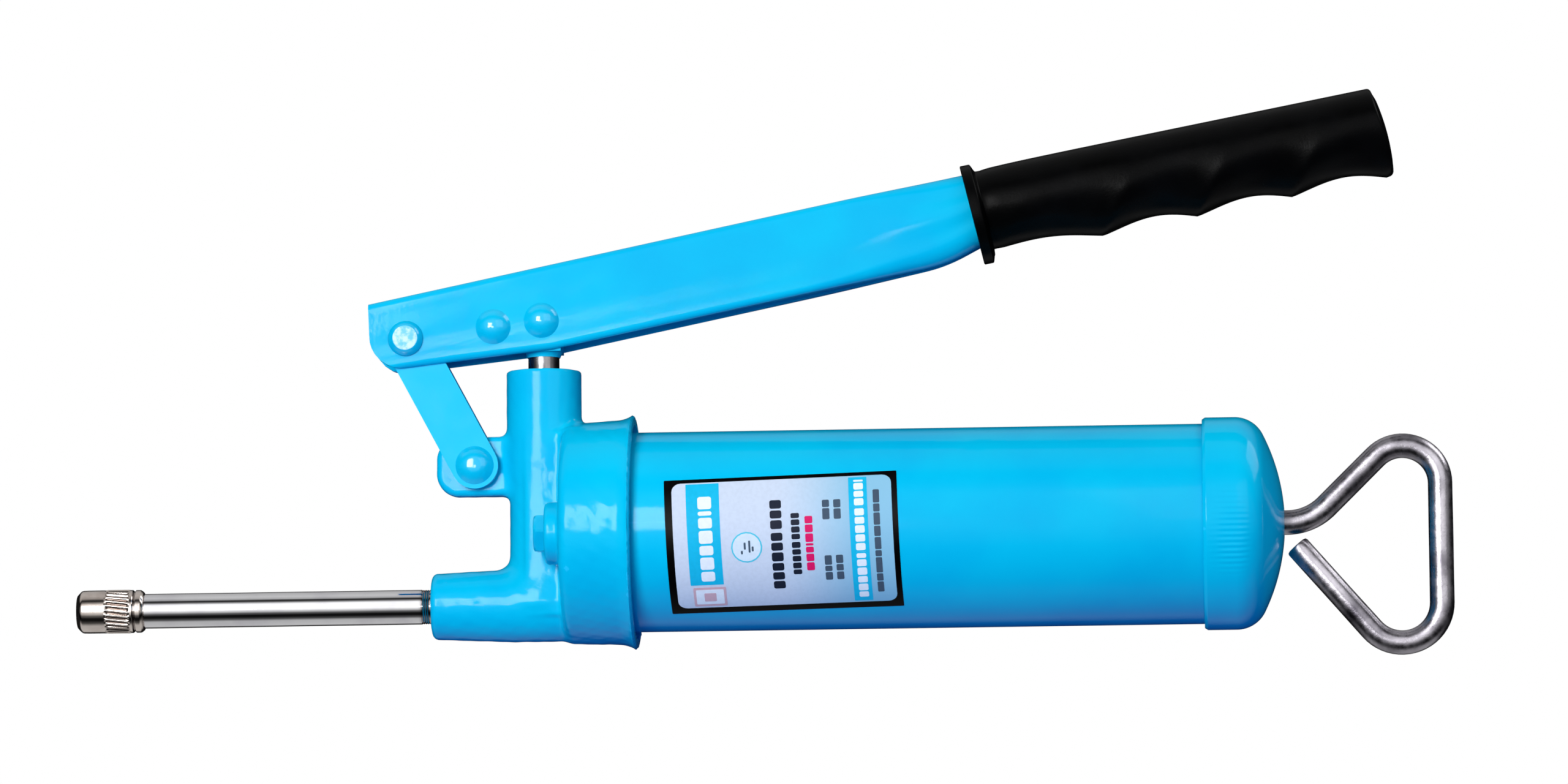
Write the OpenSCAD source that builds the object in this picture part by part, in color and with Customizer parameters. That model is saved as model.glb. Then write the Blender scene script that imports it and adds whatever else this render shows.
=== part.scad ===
// Hand-lever grease gun.
// +X runs from the coupler mouth to the D-handle, +Z points up to the lever,
// and y = 0 is the middle plane. The origin is the centre of the coupler mouth.

/* [Barrel] */
// Outer radius of the barrel tube
barrel_r = 28.5; // [28.4:0.1:28.6]
// Wall of the barrel tube
barrel_wall = 1.2; // [1:0.1:1.6]
// Height of the barrel axis above the nozzle axis
barrel_z = 20.5; // [20.2:0.1:20.8]
// Front end of the barrel tube
barrel_front = 147; // [146.5:0.5:147.5]
// Front edge of the rear cap
cap_front = 322; // [321:0.5:323]
// Rearmost point of the domed rear cap
cap_apex = 345.3; // [345:0.1:345.5]
// Outer radius of the rear cap
cap_r = 30.4; // [30.3:0.1:30.6]
// Radius of the rounded shoulder of the cap
cap_shoulder_r = 9; // [8.5:0.5:9]

/* [Head casting] */
// Front face of the outlet boss
boss_front = 101.3; // [101:0.1:101.6]
// Radius of the outlet boss
boss_r = 10.1; // [10:0.1:10.3]
// Axis of the pump column
column_x = 134.2; // [134:0.1:134.4]
// Radius of the pump column at its top
column_r = 10.7; // [10.6:0.1:10.9]
// Top of the pump column above the barrel axis
column_rise = 46.5; // [46:0.1:46.5]
// Half width of the flat web behind the column
web_half = 10.2; // [10:0.1:10.3]
// Top of the web above the barrel axis
web_rise = 28.2; // [28:0.1:28.6]
// Front face of the threaded cup
cup_front = 140; // [139.8:0.1:140.2]
// Outer radius of the cup
cup_r = 31.8; // [31.6:0.1:32]
// Radius of the flared lip
lip_r = 33.5; // [33.3:0.1:33.8]
// Rear face of the cup
cup_back = 161.6; // [161:0.1:162]
// Bore of the pump column
pump_bore_r = 4.5; // [4.5:0.01:4.52]

/* [Lever] */
// Rise of the lever above the horizontal, in degrees
lever_slope = 11.53; // [11.4:0.01:11.6]
// Outer width of the lever channel
lever_w = 17; // [16.9:0.1:17.2]
// Sheet thickness of the lever channel
lever_sheet = 1.8; // [1.7:0.1:1.8]
// Height of the lever's top above the plunger pin
lever_top = 15.3; // [15.2:0.1:15.5]
// Depth of the lever's lower edge below the plunger pin
lever_low = 8.7; // [8.5:0.1:8.8]
// Radius of the grip
grip_r = 12.8; // [12.7:0.1:13]
// Radius of the grip's flange
flange_r = 15; // [14.5:0.1:15.5]
// Thickness of the grip's flange
flange_t = 2.2; // [2:0.1:2.5]

/* [Links] */
// Half width of a link plate
link_r = 6.7; // [6.6:0.1:6.8]
// Thickness of a link plate
link_t = 2.4; // [2.3:0.1:2.4]
// Half thickness of the lug on the casting
lug_half = 3.6; // [3.5:0.1:3.7]
// Half height of the lug
lug_rise = 8.5; // [8:0.1:9]
// Radius of the three lever pins
pin_r = 3; // [2.98:0.01:3.01]

/* [Nozzle and coupler] */
// Radius of the nozzle pipe
pipe_r = 4.95; // [4.9:0.05:5.05]
// Bore of the nozzle pipe
pipe_bore_r = 2; // [1.8:0.1:2]
// Radius of the coupler sleeve
sleeve_r = 6.15; // [6.1:0.05:6.25]
// Length of the coupler sleeve
sleeve_len = 16.3; // [16:0.1:16.4]
// Radius of the coupler mouth
mouth_r = 3.7; // [3.65:0.05:3.75]

/* [Rod and D-handle] */
// Radius of the follower rod
rod_r = 3.5; // [3.4:0.01:3.5]
// Middle line of the handle's upright side
handle_x = 389.4; // [389:0.1:390]

/* [Hidden] */
$fn = 64;
run_gap = 0.05;

enamel = "deepskyblue";
steel = "silver";
dark_steel = "slategray";
black = "#1b1b1c";
seal_red = "#7a3b2e";
paper = "gainsboro";

// lever pins, as [x, z] points in the middle plane
lug_pin_at = [114.65, barrel_z + 19.4];
link_pin_at = [95.3, barrel_z + 55.8];
plunger_pin_at = [column_x, barrel_z + 60.5];

// lever outline, in the lever's own frame with the plunger pin at its origin
nose = [-40.2, 4.2];
nose_r = 9.1;
link_pin_local = [-39.05, 3.17];
rivet_local = [-13.84, 1.2];
tang_front = 117;
tang_back = 232;
tang_top = 13.8;
tang_low = -5;
tang_half = 7.5;
grip_front = 126.4;
grip_tilt = 0.53;
grip_centre = 3.9;
// the grip's end is part of a ball, centred behind the flange and below the grip's axis
end_ball_r = 63;
end_ball_back = 57.95;
end_ball_drop = 4.4;
// finger hollows along the underside
hollow_pitch = 27.4;
hollow_first = 148;
hollow_r = 36;
hollow_top = -6.7;
hollow_fall = 0.25;

cup_floor = 145;
collar_rise = 12;
boss_chamfer = 2.4;
chamber_r = 3.6;
inlet_r = 2.2;
vent_bore_r = 3;
inlet_rise = 9;
vent_y = -19.2;
vent_rise = -1.8;
vent_r = 8.9;
vent_front = cup_front - 5.6;
pipe_seat = 112;
// coupler stations along the nozzle axis
jaw_back = 7.7;
body_front = 8;
seal_back = 9.4;
body_floor = 11.7;
pipe_front = 12.5;
collar_front = 17.1;
coupler_back = 19.2;
spigot_r = 4;
body_r = 5.3;
cavity_r = 3;
ball_r = 2.8;
ball_x = 119.9;
ball_seat = 122;
outlet_r = 2;
column_top = barrel_z + column_rise;
plunger_tip = barrel_z - 9;
eye_low = barrel_z + 50.5;
packing_low = barrel_z + 38;
packing_r = 7;
packing_t = 4;
eye_stem_r = 3;
eye_stem_h = 5;

link_len = norm(link_pin_at - lug_pin_at);
link_angle = atan2(link_pin_at[1] - lug_pin_at[1], link_pin_at[0] - lug_pin_at[0]);
link_y = lever_w / 2 - lever_sheet - 0.35 - link_t;

// rear cap: a dome that meets the rounded shoulder smoothly
shoulder_x = 331.2;
shoulder_c = cap_r - cap_shoulder_r;
dome_drop = cap_apex - shoulder_x;
dome_r = (dome_drop * dome_drop + shoulder_c * shoulder_c - cap_shoulder_r * cap_shoulder_r)
    / (2 * (dome_drop - cap_shoulder_r));
cap_wall = cap_r - barrel_r - run_gap;

// follower stack on the rod's threaded tip: nut, washer, cup seal and backing plate
thread_r = 3;
thread_tip = 149.5;
nut_front = 151;
nut_t = 3;
washer_front = nut_front + nut_t;
washer_t = 1.5;
seal_front = washer_front + washer_t;
seal_t = 2.5;
plate_front = seal_front + seal_t;
plate_t = 1.5;
rod_shoulder = plate_front + plate_t;

// D-handle, as corners in the middle plane above the barrel axis, each with its bend radius
handle_corners = [[rod_shoulder, 0], [352.4, 0], [handle_x, 36.2], [handle_x, -53.8], [348.4, -6.6]];
handle_bends = [0, 16, 10.7, 11.4, 0];
// straights run a little way into the bends, which are a hair thinner
bend_lap = 0.25;
bend_inset = 0.005;

// ---- helpers ----

// round bar along X from x0 to x1
module x_bar(x0, x1, r, r_end = -1) {
    translate([x0, 0, 0])
        rotate([0, 90, 0])
            cylinder(h = x1 - x0, r1 = r, r2 = r_end < 0 ? r : r_end);
}

// hexagonal bar along X, by its width across flats
module hex_bar(x0, h, flats) {
    translate([x0, 0, 0])
        rotate([0, 90, 0])
            cylinder(h = h, r = flats / sqrt(3), $fn = 6);
}

// round bar along Y through the point at = [x, z]
module y_bar(at, y0, y1, r, r_end = -1) {
    translate([at[0], y0, at[1]])
        rotate([-90, 0, 0])
            cylinder(h = y1 - y0, r1 = r, r2 = r_end < 0 ? r : r_end);
}

// body turned about X from a 2D profile of [radius, x]
module turned_x() {
    rotate([0, 90, 0])
        rotate_extrude()
            children();
}

// moves children to the barrel axis
module on_barrel() {
    translate([0, 0, barrel_z])
        children();
}

// moves children to the lever's frame: x along the lever, z across it
module on_lever() {
    translate([plunger_pin_at[0], 0, plunger_pin_at[1]])
        rotate([0, -lever_slope, 0])
            children();
}

// domed head standing on the plane y = base, pointing along side = 1 or -1
module dome_head(at, base, side, r, h) {
    ball = (r * r + h * h) / (2 * h);
    intersection() {
        translate([at[0], side * (base + h - ball), at[1]])
            sphere(r = ball);
        y_bar(at, side > 0 ? base : -base - h, side > 0 ? base + h : -base, r + 1);
    }
}

// coil of round wire along X, with flat ring ends
module coil(r, wire, turns, x0, x1, steps, sides) {
    last = turns * steps;
    ring = [for (i = [0:last]) for (j = [0:sides - 1])
        let (a = 360 * i / steps, b = 360 * j / sides, reach = r + wire * cos(b))
        [x0 + (x1 - x0) * i / last + wire * sin(b), reach * cos(a), reach * sin(a)]];
    skin = [for (i = [0:last - 1]) for (j = [0:sides - 1])
        let (k = (j + 1) % sides)
        [i * sides + j, i * sides + k, (i + 1) * sides + k, (i + 1) * sides + j]];
    front = [[for (j = [0:sides - 1]) sides - 1 - j]];
    back = [[for (j = [0:sides - 1]) last * sides + j]];
    polyhedron(points = ring, faces = concat(front, skin, back), convexity = 10);
}

// ---- head casting ----

module cup_profile() {
    edge = 3;
    flare = cup_back - 4.1;
    inner = barrel_r - 3;
    translate([0, cup_front])
        square([cup_r - edge, cup_back - cup_front - 1]);
    translate([cup_r - edge, cup_front + edge])
        circle(r = edge);
    translate([cup_r - edge - 1, cup_front + edge])
        square([edge + 1, flare - cup_front - edge]);
    polygon([[inner, flare - 0.5], [cup_r, flare - 0.5], [cup_r, flare], [lip_r, flare + 2.3],
        [barrel_r + 1.2, cup_back], [inner, cup_back]]);
}

module lug() {
    top = lug_pin_at[1] + lug_rise;
    low = lug_pin_at[1] - lug_rise;
    front = 103.4;
    corner = 6.5;
    translate([0, lug_half, 0])
        rotate([90, 0, 0])
            linear_extrude(height = 2 * lug_half) {
                translate([front + corner, low])
                    square([column_x - front - corner, top - low]);
                translate([front, low + corner])
                    square([corner + 1, top - low - 2 * corner]);
                translate([front + corner, low + corner])
                    circle(r = corner);
                translate([front + corner, top - corner])
                    circle(r = corner);
            }
}

module casting_body() {
    x_bar(boss_front, boss_front + boss_chamfer, boss_r - boss_chamfer, boss_r);
    x_bar(boss_front + boss_chamfer, cup_front + 2, boss_r);
    translate([column_x, 0, 0])
        cylinder(h = barrel_z + collar_rise, r = boss_r);
    translate([column_x, 0, barrel_z + collar_rise])
        cylinder(h = column_rise - collar_rise, r = column_r);
    translate([column_x, -web_half, 0])
        cube([cup_front - column_x + 2, 2 * web_half, barrel_z + web_rise]);
    on_barrel()
        turned_x()
            cup_profile();
    lug();
    translate([0, vent_y, barrel_z + vent_rise]) {
        x_bar(vent_front + 2, cup_front + 2, vent_r);
        x_bar(vent_front, vent_front + 2, vent_r - 2, vent_r);
    }
}

module casting_cuts() {
    // pump bore, the packing groove and the passage down to the outlet
    translate([column_x, 0, 4])
        cylinder(h = column_top, r = pump_bore_r);
    translate([column_x, 0, 0])
        cylinder(h = 6, r = outlet_r);
    translate([column_x, 0, packing_low])
        cylinder(h = packing_t, r = packing_r);
    // outlet: pipe thread, valve chamber and passage
    x_bar(boss_front - 1, pipe_seat, pipe_r - 0.25);
    x_bar(pipe_seat - 1, ball_seat, chamber_r);
    x_bar(ball_seat - 1, column_x, outlet_r);
    on_barrel() {
        x_bar(cup_floor, cup_back + 1, barrel_r + run_gap);
        translate([0, 0, inlet_rise])
            x_bar(column_x, cup_floor + 1, inlet_r);
    }
    translate([0, vent_y, barrel_z + vent_rise])
        x_bar(vent_front - 1, cup_floor + 1, vent_bore_r);
    y_bar(lug_pin_at, -lug_half - 1, lug_half + 1, pin_r + run_gap);
}

module head_casting() {
    color(enamel)
        difference() {
            casting_body();
            casting_cuts();
        }
}

module vent_plug() {
    hex_t = 3.7;
    color(enamel)
        translate([0, vent_y, barrel_z + vent_rise]) {
            x_bar(vent_front, cup_floor - 0.5, vent_bore_r);
            hex_bar(vent_front - hex_t, hex_t, 10);
        }
}

// ---- barrel ----

module barrel_gasket() {
    gasket_w = 4;
    color(seal_red)
        on_barrel()
            difference() {
                x_bar(cup_floor, barrel_front, barrel_r - 0.2);
                x_bar(cup_floor - 1, barrel_front + 1, barrel_r - gasket_w);
            }
}

module barrel_tube() {
    color(enamel)
        on_barrel()
            difference() {
                x_bar(barrel_front, shoulder_x, barrel_r);
                x_bar(barrel_front - 1, shoulder_x + 1, barrel_r - barrel_wall);
            }
}

module barrel_label() {
    label_mid = 203.6;
    label_len = 65.8;
    label_half = 19.2;
    label_t = 0.15;
    reach = 40;
    turn = 15.3;
    skew = 2;
    color(paper)
        on_barrel()
            intersection() {
                difference() {
                    x_bar(label_mid - reach, label_mid + reach, barrel_r + label_t);
                    x_bar(label_mid - reach - 1, label_mid + reach + 1, barrel_r);
                }
                rotate([turn, 0, 0])
                    translate([label_mid, 0, 0])
                        rotate([0, -skew, 0])
                            translate([-label_len / 2, -reach, -label_half])
                                cube([label_len, reach, 2 * label_half]);
            }
}

// half section of the cap, set in by a constant amount
module cap_section(inset) {
    dome_x = cap_apex - dome_r;
    translate([0, cap_front])
        square([cap_r - inset, shoulder_x - cap_front]);
    translate([shoulder_c, shoulder_x])
        circle(r = cap_shoulder_r - inset);
    intersection() {
        translate([0, dome_x])
            circle(r = dome_r - inset, $fn = 128);
        polygon([[0, shoulder_x], [shoulder_c, shoulder_x],
            [2 * shoulder_c, 2 * shoulder_x - dome_x], [0, 2 * shoulder_x]]);
    }
}

module rear_cap() {
    lip = 0.5;
    lip_w = 1.4;
    guide_r = 7;
    guide_len = 6;
    color(enamel)
        on_barrel()
            difference() {
                union() {
                    turned_x()
                        difference() {
                            cap_section(0);
                            cap_section(cap_wall);
                        }
                    // rolled front edge and the rod's guide boss
                    difference() {
                        x_bar(cap_front, cap_front + lip_w, cap_r + lip);
                        x_bar(cap_front - 1, cap_front + lip_w + 1, cap_r - lip);
                    }
                    x_bar(cap_apex - guide_len - 1, cap_apex - 1, guide_r);
                }
                x_bar(cap_apex - guide_len - 2, cap_apex + 1, rod_r + run_gap);
            }
}

// ---- follower ----

function turn_of(a, b, c) =
    let (p = b - a, q = c - b)
    atan2(p[0] * q[1] - p[1] * q[0], p * q);

// one bend of the rod: a quarter-ring style sector that joins the two straights at corner b
module rod_bend(a, b, c, bend) {
    turn = turn_of(a, b, c);
    side = turn > 0 ? 1 : -1;
    along = (b - a) / norm(b - a);
    start = b - along * bend * tan(abs(turn) / 2);
    centre = start + side * bend * [-along[1], along[0]];
    heading = atan2(along[1], along[0]);
    translate([centre[0], 0, centre[1]])
        rotate([90, 0, 0])
            rotate([0, 0, heading - side * 90])
                rotate([side > 0 ? 0 : 180, 0, 0])
                    rotate_extrude(angle = abs(turn))
                        translate([bend, 0])
                            circle(r = rod_r - bend_inset);
}

// straight stretch between corners i and i + 1, shortened by the bends at its ends
module rod_straight(i) {
    n = len(handle_corners) - 1;
    a = handle_corners[i];
    b = handle_corners[i + 1];
    cut_a = i == 0 ? 0
        : handle_bends[i] * tan(abs(turn_of(handle_corners[i - 1], a, b)) / 2) - bend_lap;
    cut_b = i + 1 == n ? 0
        : handle_bends[i + 1] * tan(abs(turn_of(a, b, handle_corners[i + 2])) / 2) - bend_lap;
    along = (b - a) / norm(b - a);
    from = a + along * cut_a;
    translate([from[0], 0, from[1]])
        rotate([0, 90 - atan2(along[1], along[0]), 0])
            cylinder(h = norm(b - a) - cut_a - cut_b, r = rod_r);
}

module follower_rod() {
    color(steel)
        on_barrel() {
            for (i = [0:len(handle_corners) - 2])
                rod_straight(i);
            for (i = [1:len(handle_corners) - 2])
                rod_bend(handle_corners[i - 1], handle_corners[i], handle_corners[i + 1],
                    handle_bends[i]);
            x_bar(thread_tip, rod_shoulder, thread_r);
        }
}

module follower_nut() {
    color(steel)
        on_barrel()
            difference() {
                hex_bar(nut_front, nut_t, 10);
                x_bar(nut_front - 1, washer_front + 1, thread_r + run_gap);
            }
}

module follower_washer() {
    color(steel)
        on_barrel()
            difference() {
                x_bar(washer_front, seal_front, 20);
                x_bar(washer_front - 1, seal_front + 1, thread_r + run_gap);
            }
}

module follower_cup() {
    hub = thread_r + run_gap;
    rim = barrel_r - barrel_wall - 0.1;
    skirt_tip = 1.2;
    skirt_foot = 3;
    color(black)
        on_barrel()
            turned_x()
                polygon([[hub, seal_front], [hub, plate_front], [rim, plate_front], [rim, thread_tip],
                    [rim - skirt_tip, thread_tip], [rim - skirt_foot, seal_front]]);
}

module follower_backplate() {
    color(steel)
        on_barrel()
            difference() {
                x_bar(plate_front, rod_shoulder, 25);
                x_bar(plate_front - 1, rod_shoulder + 1, thread_r + run_gap);
            }
}

module follower_spring() {
    wire = 1.2;
    spring_r = 21;
    spring_back = 337;
    color(dark_steel)
        on_barrel()
            coil(r = spring_r, wire = wire, turns = 11, x0 = rod_shoulder + wire + 0.1,
                x1 = spring_back, steps = 20, sides = 8);
}

// ---- pump ----

module plunger_rod() {
    color(steel)
        translate([column_x, 0, 0]) {
            translate([0, 0, plunger_tip])
                cylinder(h = eye_low - plunger_tip, r = pump_bore_r - run_gap);
            translate([0, 0, eye_low])
                cylinder(h = eye_stem_h, r = eye_stem_r);
        }
}

module plunger_eye() {
    half_x = 5.3;
    half_y = lever_w / 2 - lever_sheet - 0.5;
    foot = 1.4;
    color(enamel)
        difference() {
            union() {
                translate([column_x, 0, eye_low])
                    cylinder(h = foot, r1 = half_x - 0.6, r2 = half_x);
                translate([column_x - half_x, -half_y, eye_low + foot])
                    cube([2 * half_x, 2 * half_y, plunger_pin_at[1] - eye_low - foot]);
                y_bar(plunger_pin_at, -half_y, half_y, half_x);
            }
            y_bar(plunger_pin_at, -half_y - 1, half_y + 1, pin_r + run_gap);
            translate([column_x, 0, eye_low - 1])
                cylinder(h = eye_stem_h + 1, r = eye_stem_r);
        }
}

module plunger_packing() {
    color(black)
        translate([column_x, 0, packing_low])
            difference() {
                cylinder(h = packing_t, r = packing_r);
                translate([0, 0, -1])
                    cylinder(h = packing_t + 2, r = pump_bore_r);
            }
}

module check_ball() {
    color(steel)
        translate([ball_x, 0, 0])
            sphere(r = ball_r);
}

module check_spring() {
    wire = 0.35;
    color(dark_steel)
        coil(r = 2.4, wire = wire, turns = 4, x0 = pipe_seat + wire + 0.05, x1 = ball_x - 2.35,
            steps = 16, sides = 6);
}

// ---- nozzle and coupler ----

module nozzle_pipe() {
    color(steel)
        difference() {
            union() {
                x_bar(pipe_front, coupler_back, spigot_r);
                x_bar(coupler_back, boss_front - 2.5, pipe_r);
                x_bar(boss_front - 2.5, pipe_seat, pipe_r - 0.25);
            }
            x_bar(pipe_front - 1, pipe_seat + 1, pipe_bore_r);
        }
}

module coupler_body() {
    bead_r = (coupler_back - collar_front) / 2;
    color(steel)
        difference() {
            union() {
                x_bar(body_front, sleeve_len, body_r);
                x_bar(sleeve_len, collar_front, body_r + 0.2);
                turned_x() {
                    translate([0, collar_front])
                        square([body_r - 0.1, 2 * bead_r]);
                    translate([body_r - 0.2, collar_front + bead_r])
                        circle(r = bead_r);
                }
            }
            x_bar(body_front - 1, body_floor, cavity_r);
            x_bar(body_floor - 1, pipe_front + 1, 1.5);
            x_bar(pipe_front, coupler_back + 1, spigot_r);
        }
}

module coupler_sleeve() {
    ribs = 28;
    rib_w = 0.62;
    knurl_front = 8.3;
    knurl_len = 7;
    mouth_chamfer = 0.8;
    back_chamfer = 0.5;
    color(steel)
        difference() {
            union() {
                x_bar(0, mouth_chamfer, sleeve_r - mouth_chamfer, sleeve_r);
                x_bar(mouth_chamfer, sleeve_len - back_chamfer, sleeve_r);
                x_bar(sleeve_len - back_chamfer, sleeve_len, sleeve_r, sleeve_r - back_chamfer);
                for (i = [0:ribs - 1])
                    rotate([360 * i / ribs, 0, 0])
                        translate([knurl_front, -rib_w / 2, sleeve_r - 0.4])
                            cube([knurl_len, rib_w, 0.65]);
            }
            x_bar(-1, 2, mouth_r);
            x_bar(1.5, sleeve_len + 1, body_r + run_gap);
        }
}

// four jaws, parted by two crossed slits
module coupler_jaws() {
    jaw_front = 1.7;
    jaw_r = 5.2;
    jaw_gap = 0.7;
    jaw_bore = 3.25;
    color(dark_steel)
        difference() {
            union() {
                x_bar(jaw_front, jaw_front + 1, jaw_r - 0.8, jaw_r);
                x_bar(jaw_front + 1, jaw_back, jaw_r);
            }
            x_bar(jaw_front - 1, jaw_back + 1, jaw_bore);
            for (i = [0:1])
                rotate([90 * i + 45, 0, 0])
                    translate([jaw_front - 1, -jaw_gap / 2, -jaw_r - 1])
                        cube([jaw_back - jaw_front + 2, jaw_gap, 2 * jaw_r + 2]);
        }
}

module coupler_seal() {
    color(black)
        difference() {
            x_bar(7, seal_back, cavity_r - 0.08);
            x_bar(6, seal_back + 1, 1);
        }
}

module coupler_spring() {
    wire = 0.3;
    color(dark_steel)
        coil(r = 2.2, wire = wire, turns = 3, x0 = seal_back + wire + 0.05,
            x1 = body_floor - wire - 0.05, steps = 16, sides = 6);
}

// ---- lever ----

// rectangle from [x0, y0] to [x1, y1] with rounded corners
module soft_rect(x0, y0, x1, y1, r) {
    translate([x0 + r, y0])
        square([x1 - x0 - 2 * r, y1 - y0]);
    translate([x0, y0 + r])
        square([x1 - x0, y1 - y0 - 2 * r]);
    for (x = [x0 + r, x1 - r])
        for (y = [y0 + r, y1 - r])
            translate([x, y])
                circle(r = r);
}

// bar along the lever with a rounded section, from u0 to u1
module lever_bar(u0, u1, low, top, half, r) {
    translate([u0, 0, 0])
        rotate([90, 0, 90])
            linear_extrude(height = u1 - u0)
                soft_rect(-half, low, half, top, r);
}

// side view of the channel, as a plate of its full width
module lever_side() {
    translate([0, lever_w, 0])
        rotate([90, 0, 0])
            linear_extrude(height = 2 * lever_w) {
                polygon([[-47.6, lever_top], [-49.28, 4.8], nose, [-41.04, -4.86], [1.1, -lever_low],
                    [112, -lever_low], [120, -8.2], [125.5, -6.8], [129, tang_low],
                    [tang_back, tang_low], [tang_back, lever_top]]);
                translate(nose)
                    circle(r = nose_r);
            }
}

// opening along the underside, wide at the links and narrow towards the grip
module lever_slot() {
    wide = lever_w / 2 - lever_sheet;
    narrow = 3;
    translate([0, 0, -20])
        linear_extrude(height = 20)
            polygon([[-60, -wide], [25, -wide], [95, -narrow], [112, -narrow],
                [112, narrow], [95, narrow], [25, wide], [-60, wide]]);
}

module lever_channel() {
    half = lever_w / 2;
    inner = half - lever_sheet;
    color(enamel)
        on_lever()
            difference() {
                union() {
                    intersection() {
                        lever_side();
                        lever_bar(-60, 128.6, -lever_low, lever_top, half, 4);
                    }
                    lever_bar(tang_front, tang_back, tang_low, tang_top, tang_half, 5);
                }
                lever_bar(-70, tang_front + 2, lever_sheet - lever_low, lever_top - lever_sheet,
                    inner, 2.2);
                lever_bar(tang_front, tang_back + 1, tang_low + lever_sheet,
                    tang_top - lever_sheet, tang_half - lever_sheet, 3.2);
                lever_slot();
                y_bar(link_pin_local, -half - 1, half + 1, pin_r);
                y_bar([0, 0], -half - 1, half + 1, pin_r);
                y_bar(rivet_local, -half - 1, half + 1, 2.5);
            }
}

module lever_grip() {
    color(black)
        on_lever()
            difference() {
                translate([grip_front, 0, grip_centre])
                    rotate([0, grip_tilt, 0]) {
                        x_bar(0, end_ball_back, grip_r);
                        intersection() {
                            x_bar(end_ball_back - 1, end_ball_back + end_ball_r, grip_r);
                            translate([end_ball_back, 0, -end_ball_drop])
                                sphere(r = end_ball_r, $fn = 128);
                        }
                        x_bar(0, flange_t, flange_r);
                    }
                for (i = [0:3])
                    y_bar([hollow_first + i * hollow_pitch, hollow_top - hollow_fall * i - hollow_r],
                        -2 * grip_r, 2 * grip_r, hollow_r);
                lever_bar(grip_front - 1, tang_back + 0.1, tang_low - 0.05, tang_top + 0.05,
                    tang_half + 0.05, 5);
                intersection() {
                    lever_side();
                    lever_bar(grip_front - 2, 128.6, -lever_low, lever_top, lever_w / 2, 4);
                }
            }
}

// ---- links and pins ----

// link plate between y0 and y0 + link_t; the hole at the lever end is wide, so the link stays free
module link_plate(y0) {
    slack_across = 1;
    slack_r = pin_r + 0.75;
    translate([lug_pin_at[0], y0, lug_pin_at[1]])
        rotate([0, -link_angle, 0])
            difference() {
                union() {
                    y_bar([0, 0], 0, link_t, link_r);
                    y_bar([link_len, 0], 0, link_t, link_r);
                    translate([0, 0, -link_r])
                        cube([link_len, link_t, 2 * link_r]);
                }
                y_bar([0, 0], -1, link_t + 1, pin_r);
                for (side = [-1, 1])
                    y_bar([link_len, side * slack_across], -1, link_t + 1, slack_r);
                translate([link_len - slack_r, -1, -slack_across])
                    cube([2 * slack_r, link_t + 2, 2 * slack_across]);
            }
}

module link_near() {
    color(enamel)
        link_plate(-link_y - link_t);
}

module link_far() {
    color(enamel)
        link_plate(link_y);
}

module lug_pin() {
    base = link_y + link_t;
    color(enamel) {
        y_bar(lug_pin_at, -base, base, pin_r);
        for (side = [-1, 1])
            dome_head(lug_pin_at, base, side, 5.45, 3);
    }
}

module link_pin() {
    base = lever_w / 2;
    color(enamel)
        on_lever() {
            y_bar(link_pin_local, -base, base, pin_r);
            y_bar(link_pin_local, base, base + 2.6, 5, 3.4);
            y_bar(link_pin_local, -base - 2.6, -base, 3.4, 5);
        }
}

module plunger_pin() {
    base = lever_w / 2;
    color(enamel)
        on_lever() {
            y_bar([0, 0], -base, base, pin_r);
            for (side = [-1, 1])
                dome_head([0, 0], base, side, 5.1, 3);
        }
}

module stiffener_rivet() {
    base = lever_w / 2;
    color(enamel)
        on_lever() {
            y_bar(rivet_local, -base, base, 2.5);
            for (side = [-1, 1])
                dome_head(rivet_local, base, side, 5.1, 3);
        }
}

module stiffener_spacer() {
    half = lever_w / 2 - lever_sheet;
    color(steel)
        on_lever()
            difference() {
                y_bar(rivet_local, -half, half, 3.3);
                y_bar(rivet_local, -half - 1, half + 1, 2.5);
            }
}

head_casting();
vent_plug();
barrel_gasket();
barrel_tube();
barrel_label();
rear_cap();
follower_rod();
follower_nut();
follower_washer();
follower_cup();
follower_backplate();
follower_spring();
plunger_rod();
plunger_eye();
plunger_packing();
check_ball();
check_spring();
nozzle_pipe();
coupler_body();
coupler_sleeve();
coupler_jaws();
coupler_seal();
coupler_spring();
lever_channel();
lever_grip();
link_near();
link_far();
lug_pin();
link_pin();
plunger_pin();
stiffener_rivet();
stiffener_spacer();
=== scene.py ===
"""Looks for the lever grease gun: enamelled casting and barrel, rubber grip, plated pipe and coupler."""

import math

import bmesh
import bpy
import numpy as np
from mathutils import Matrix, Vector


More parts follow.
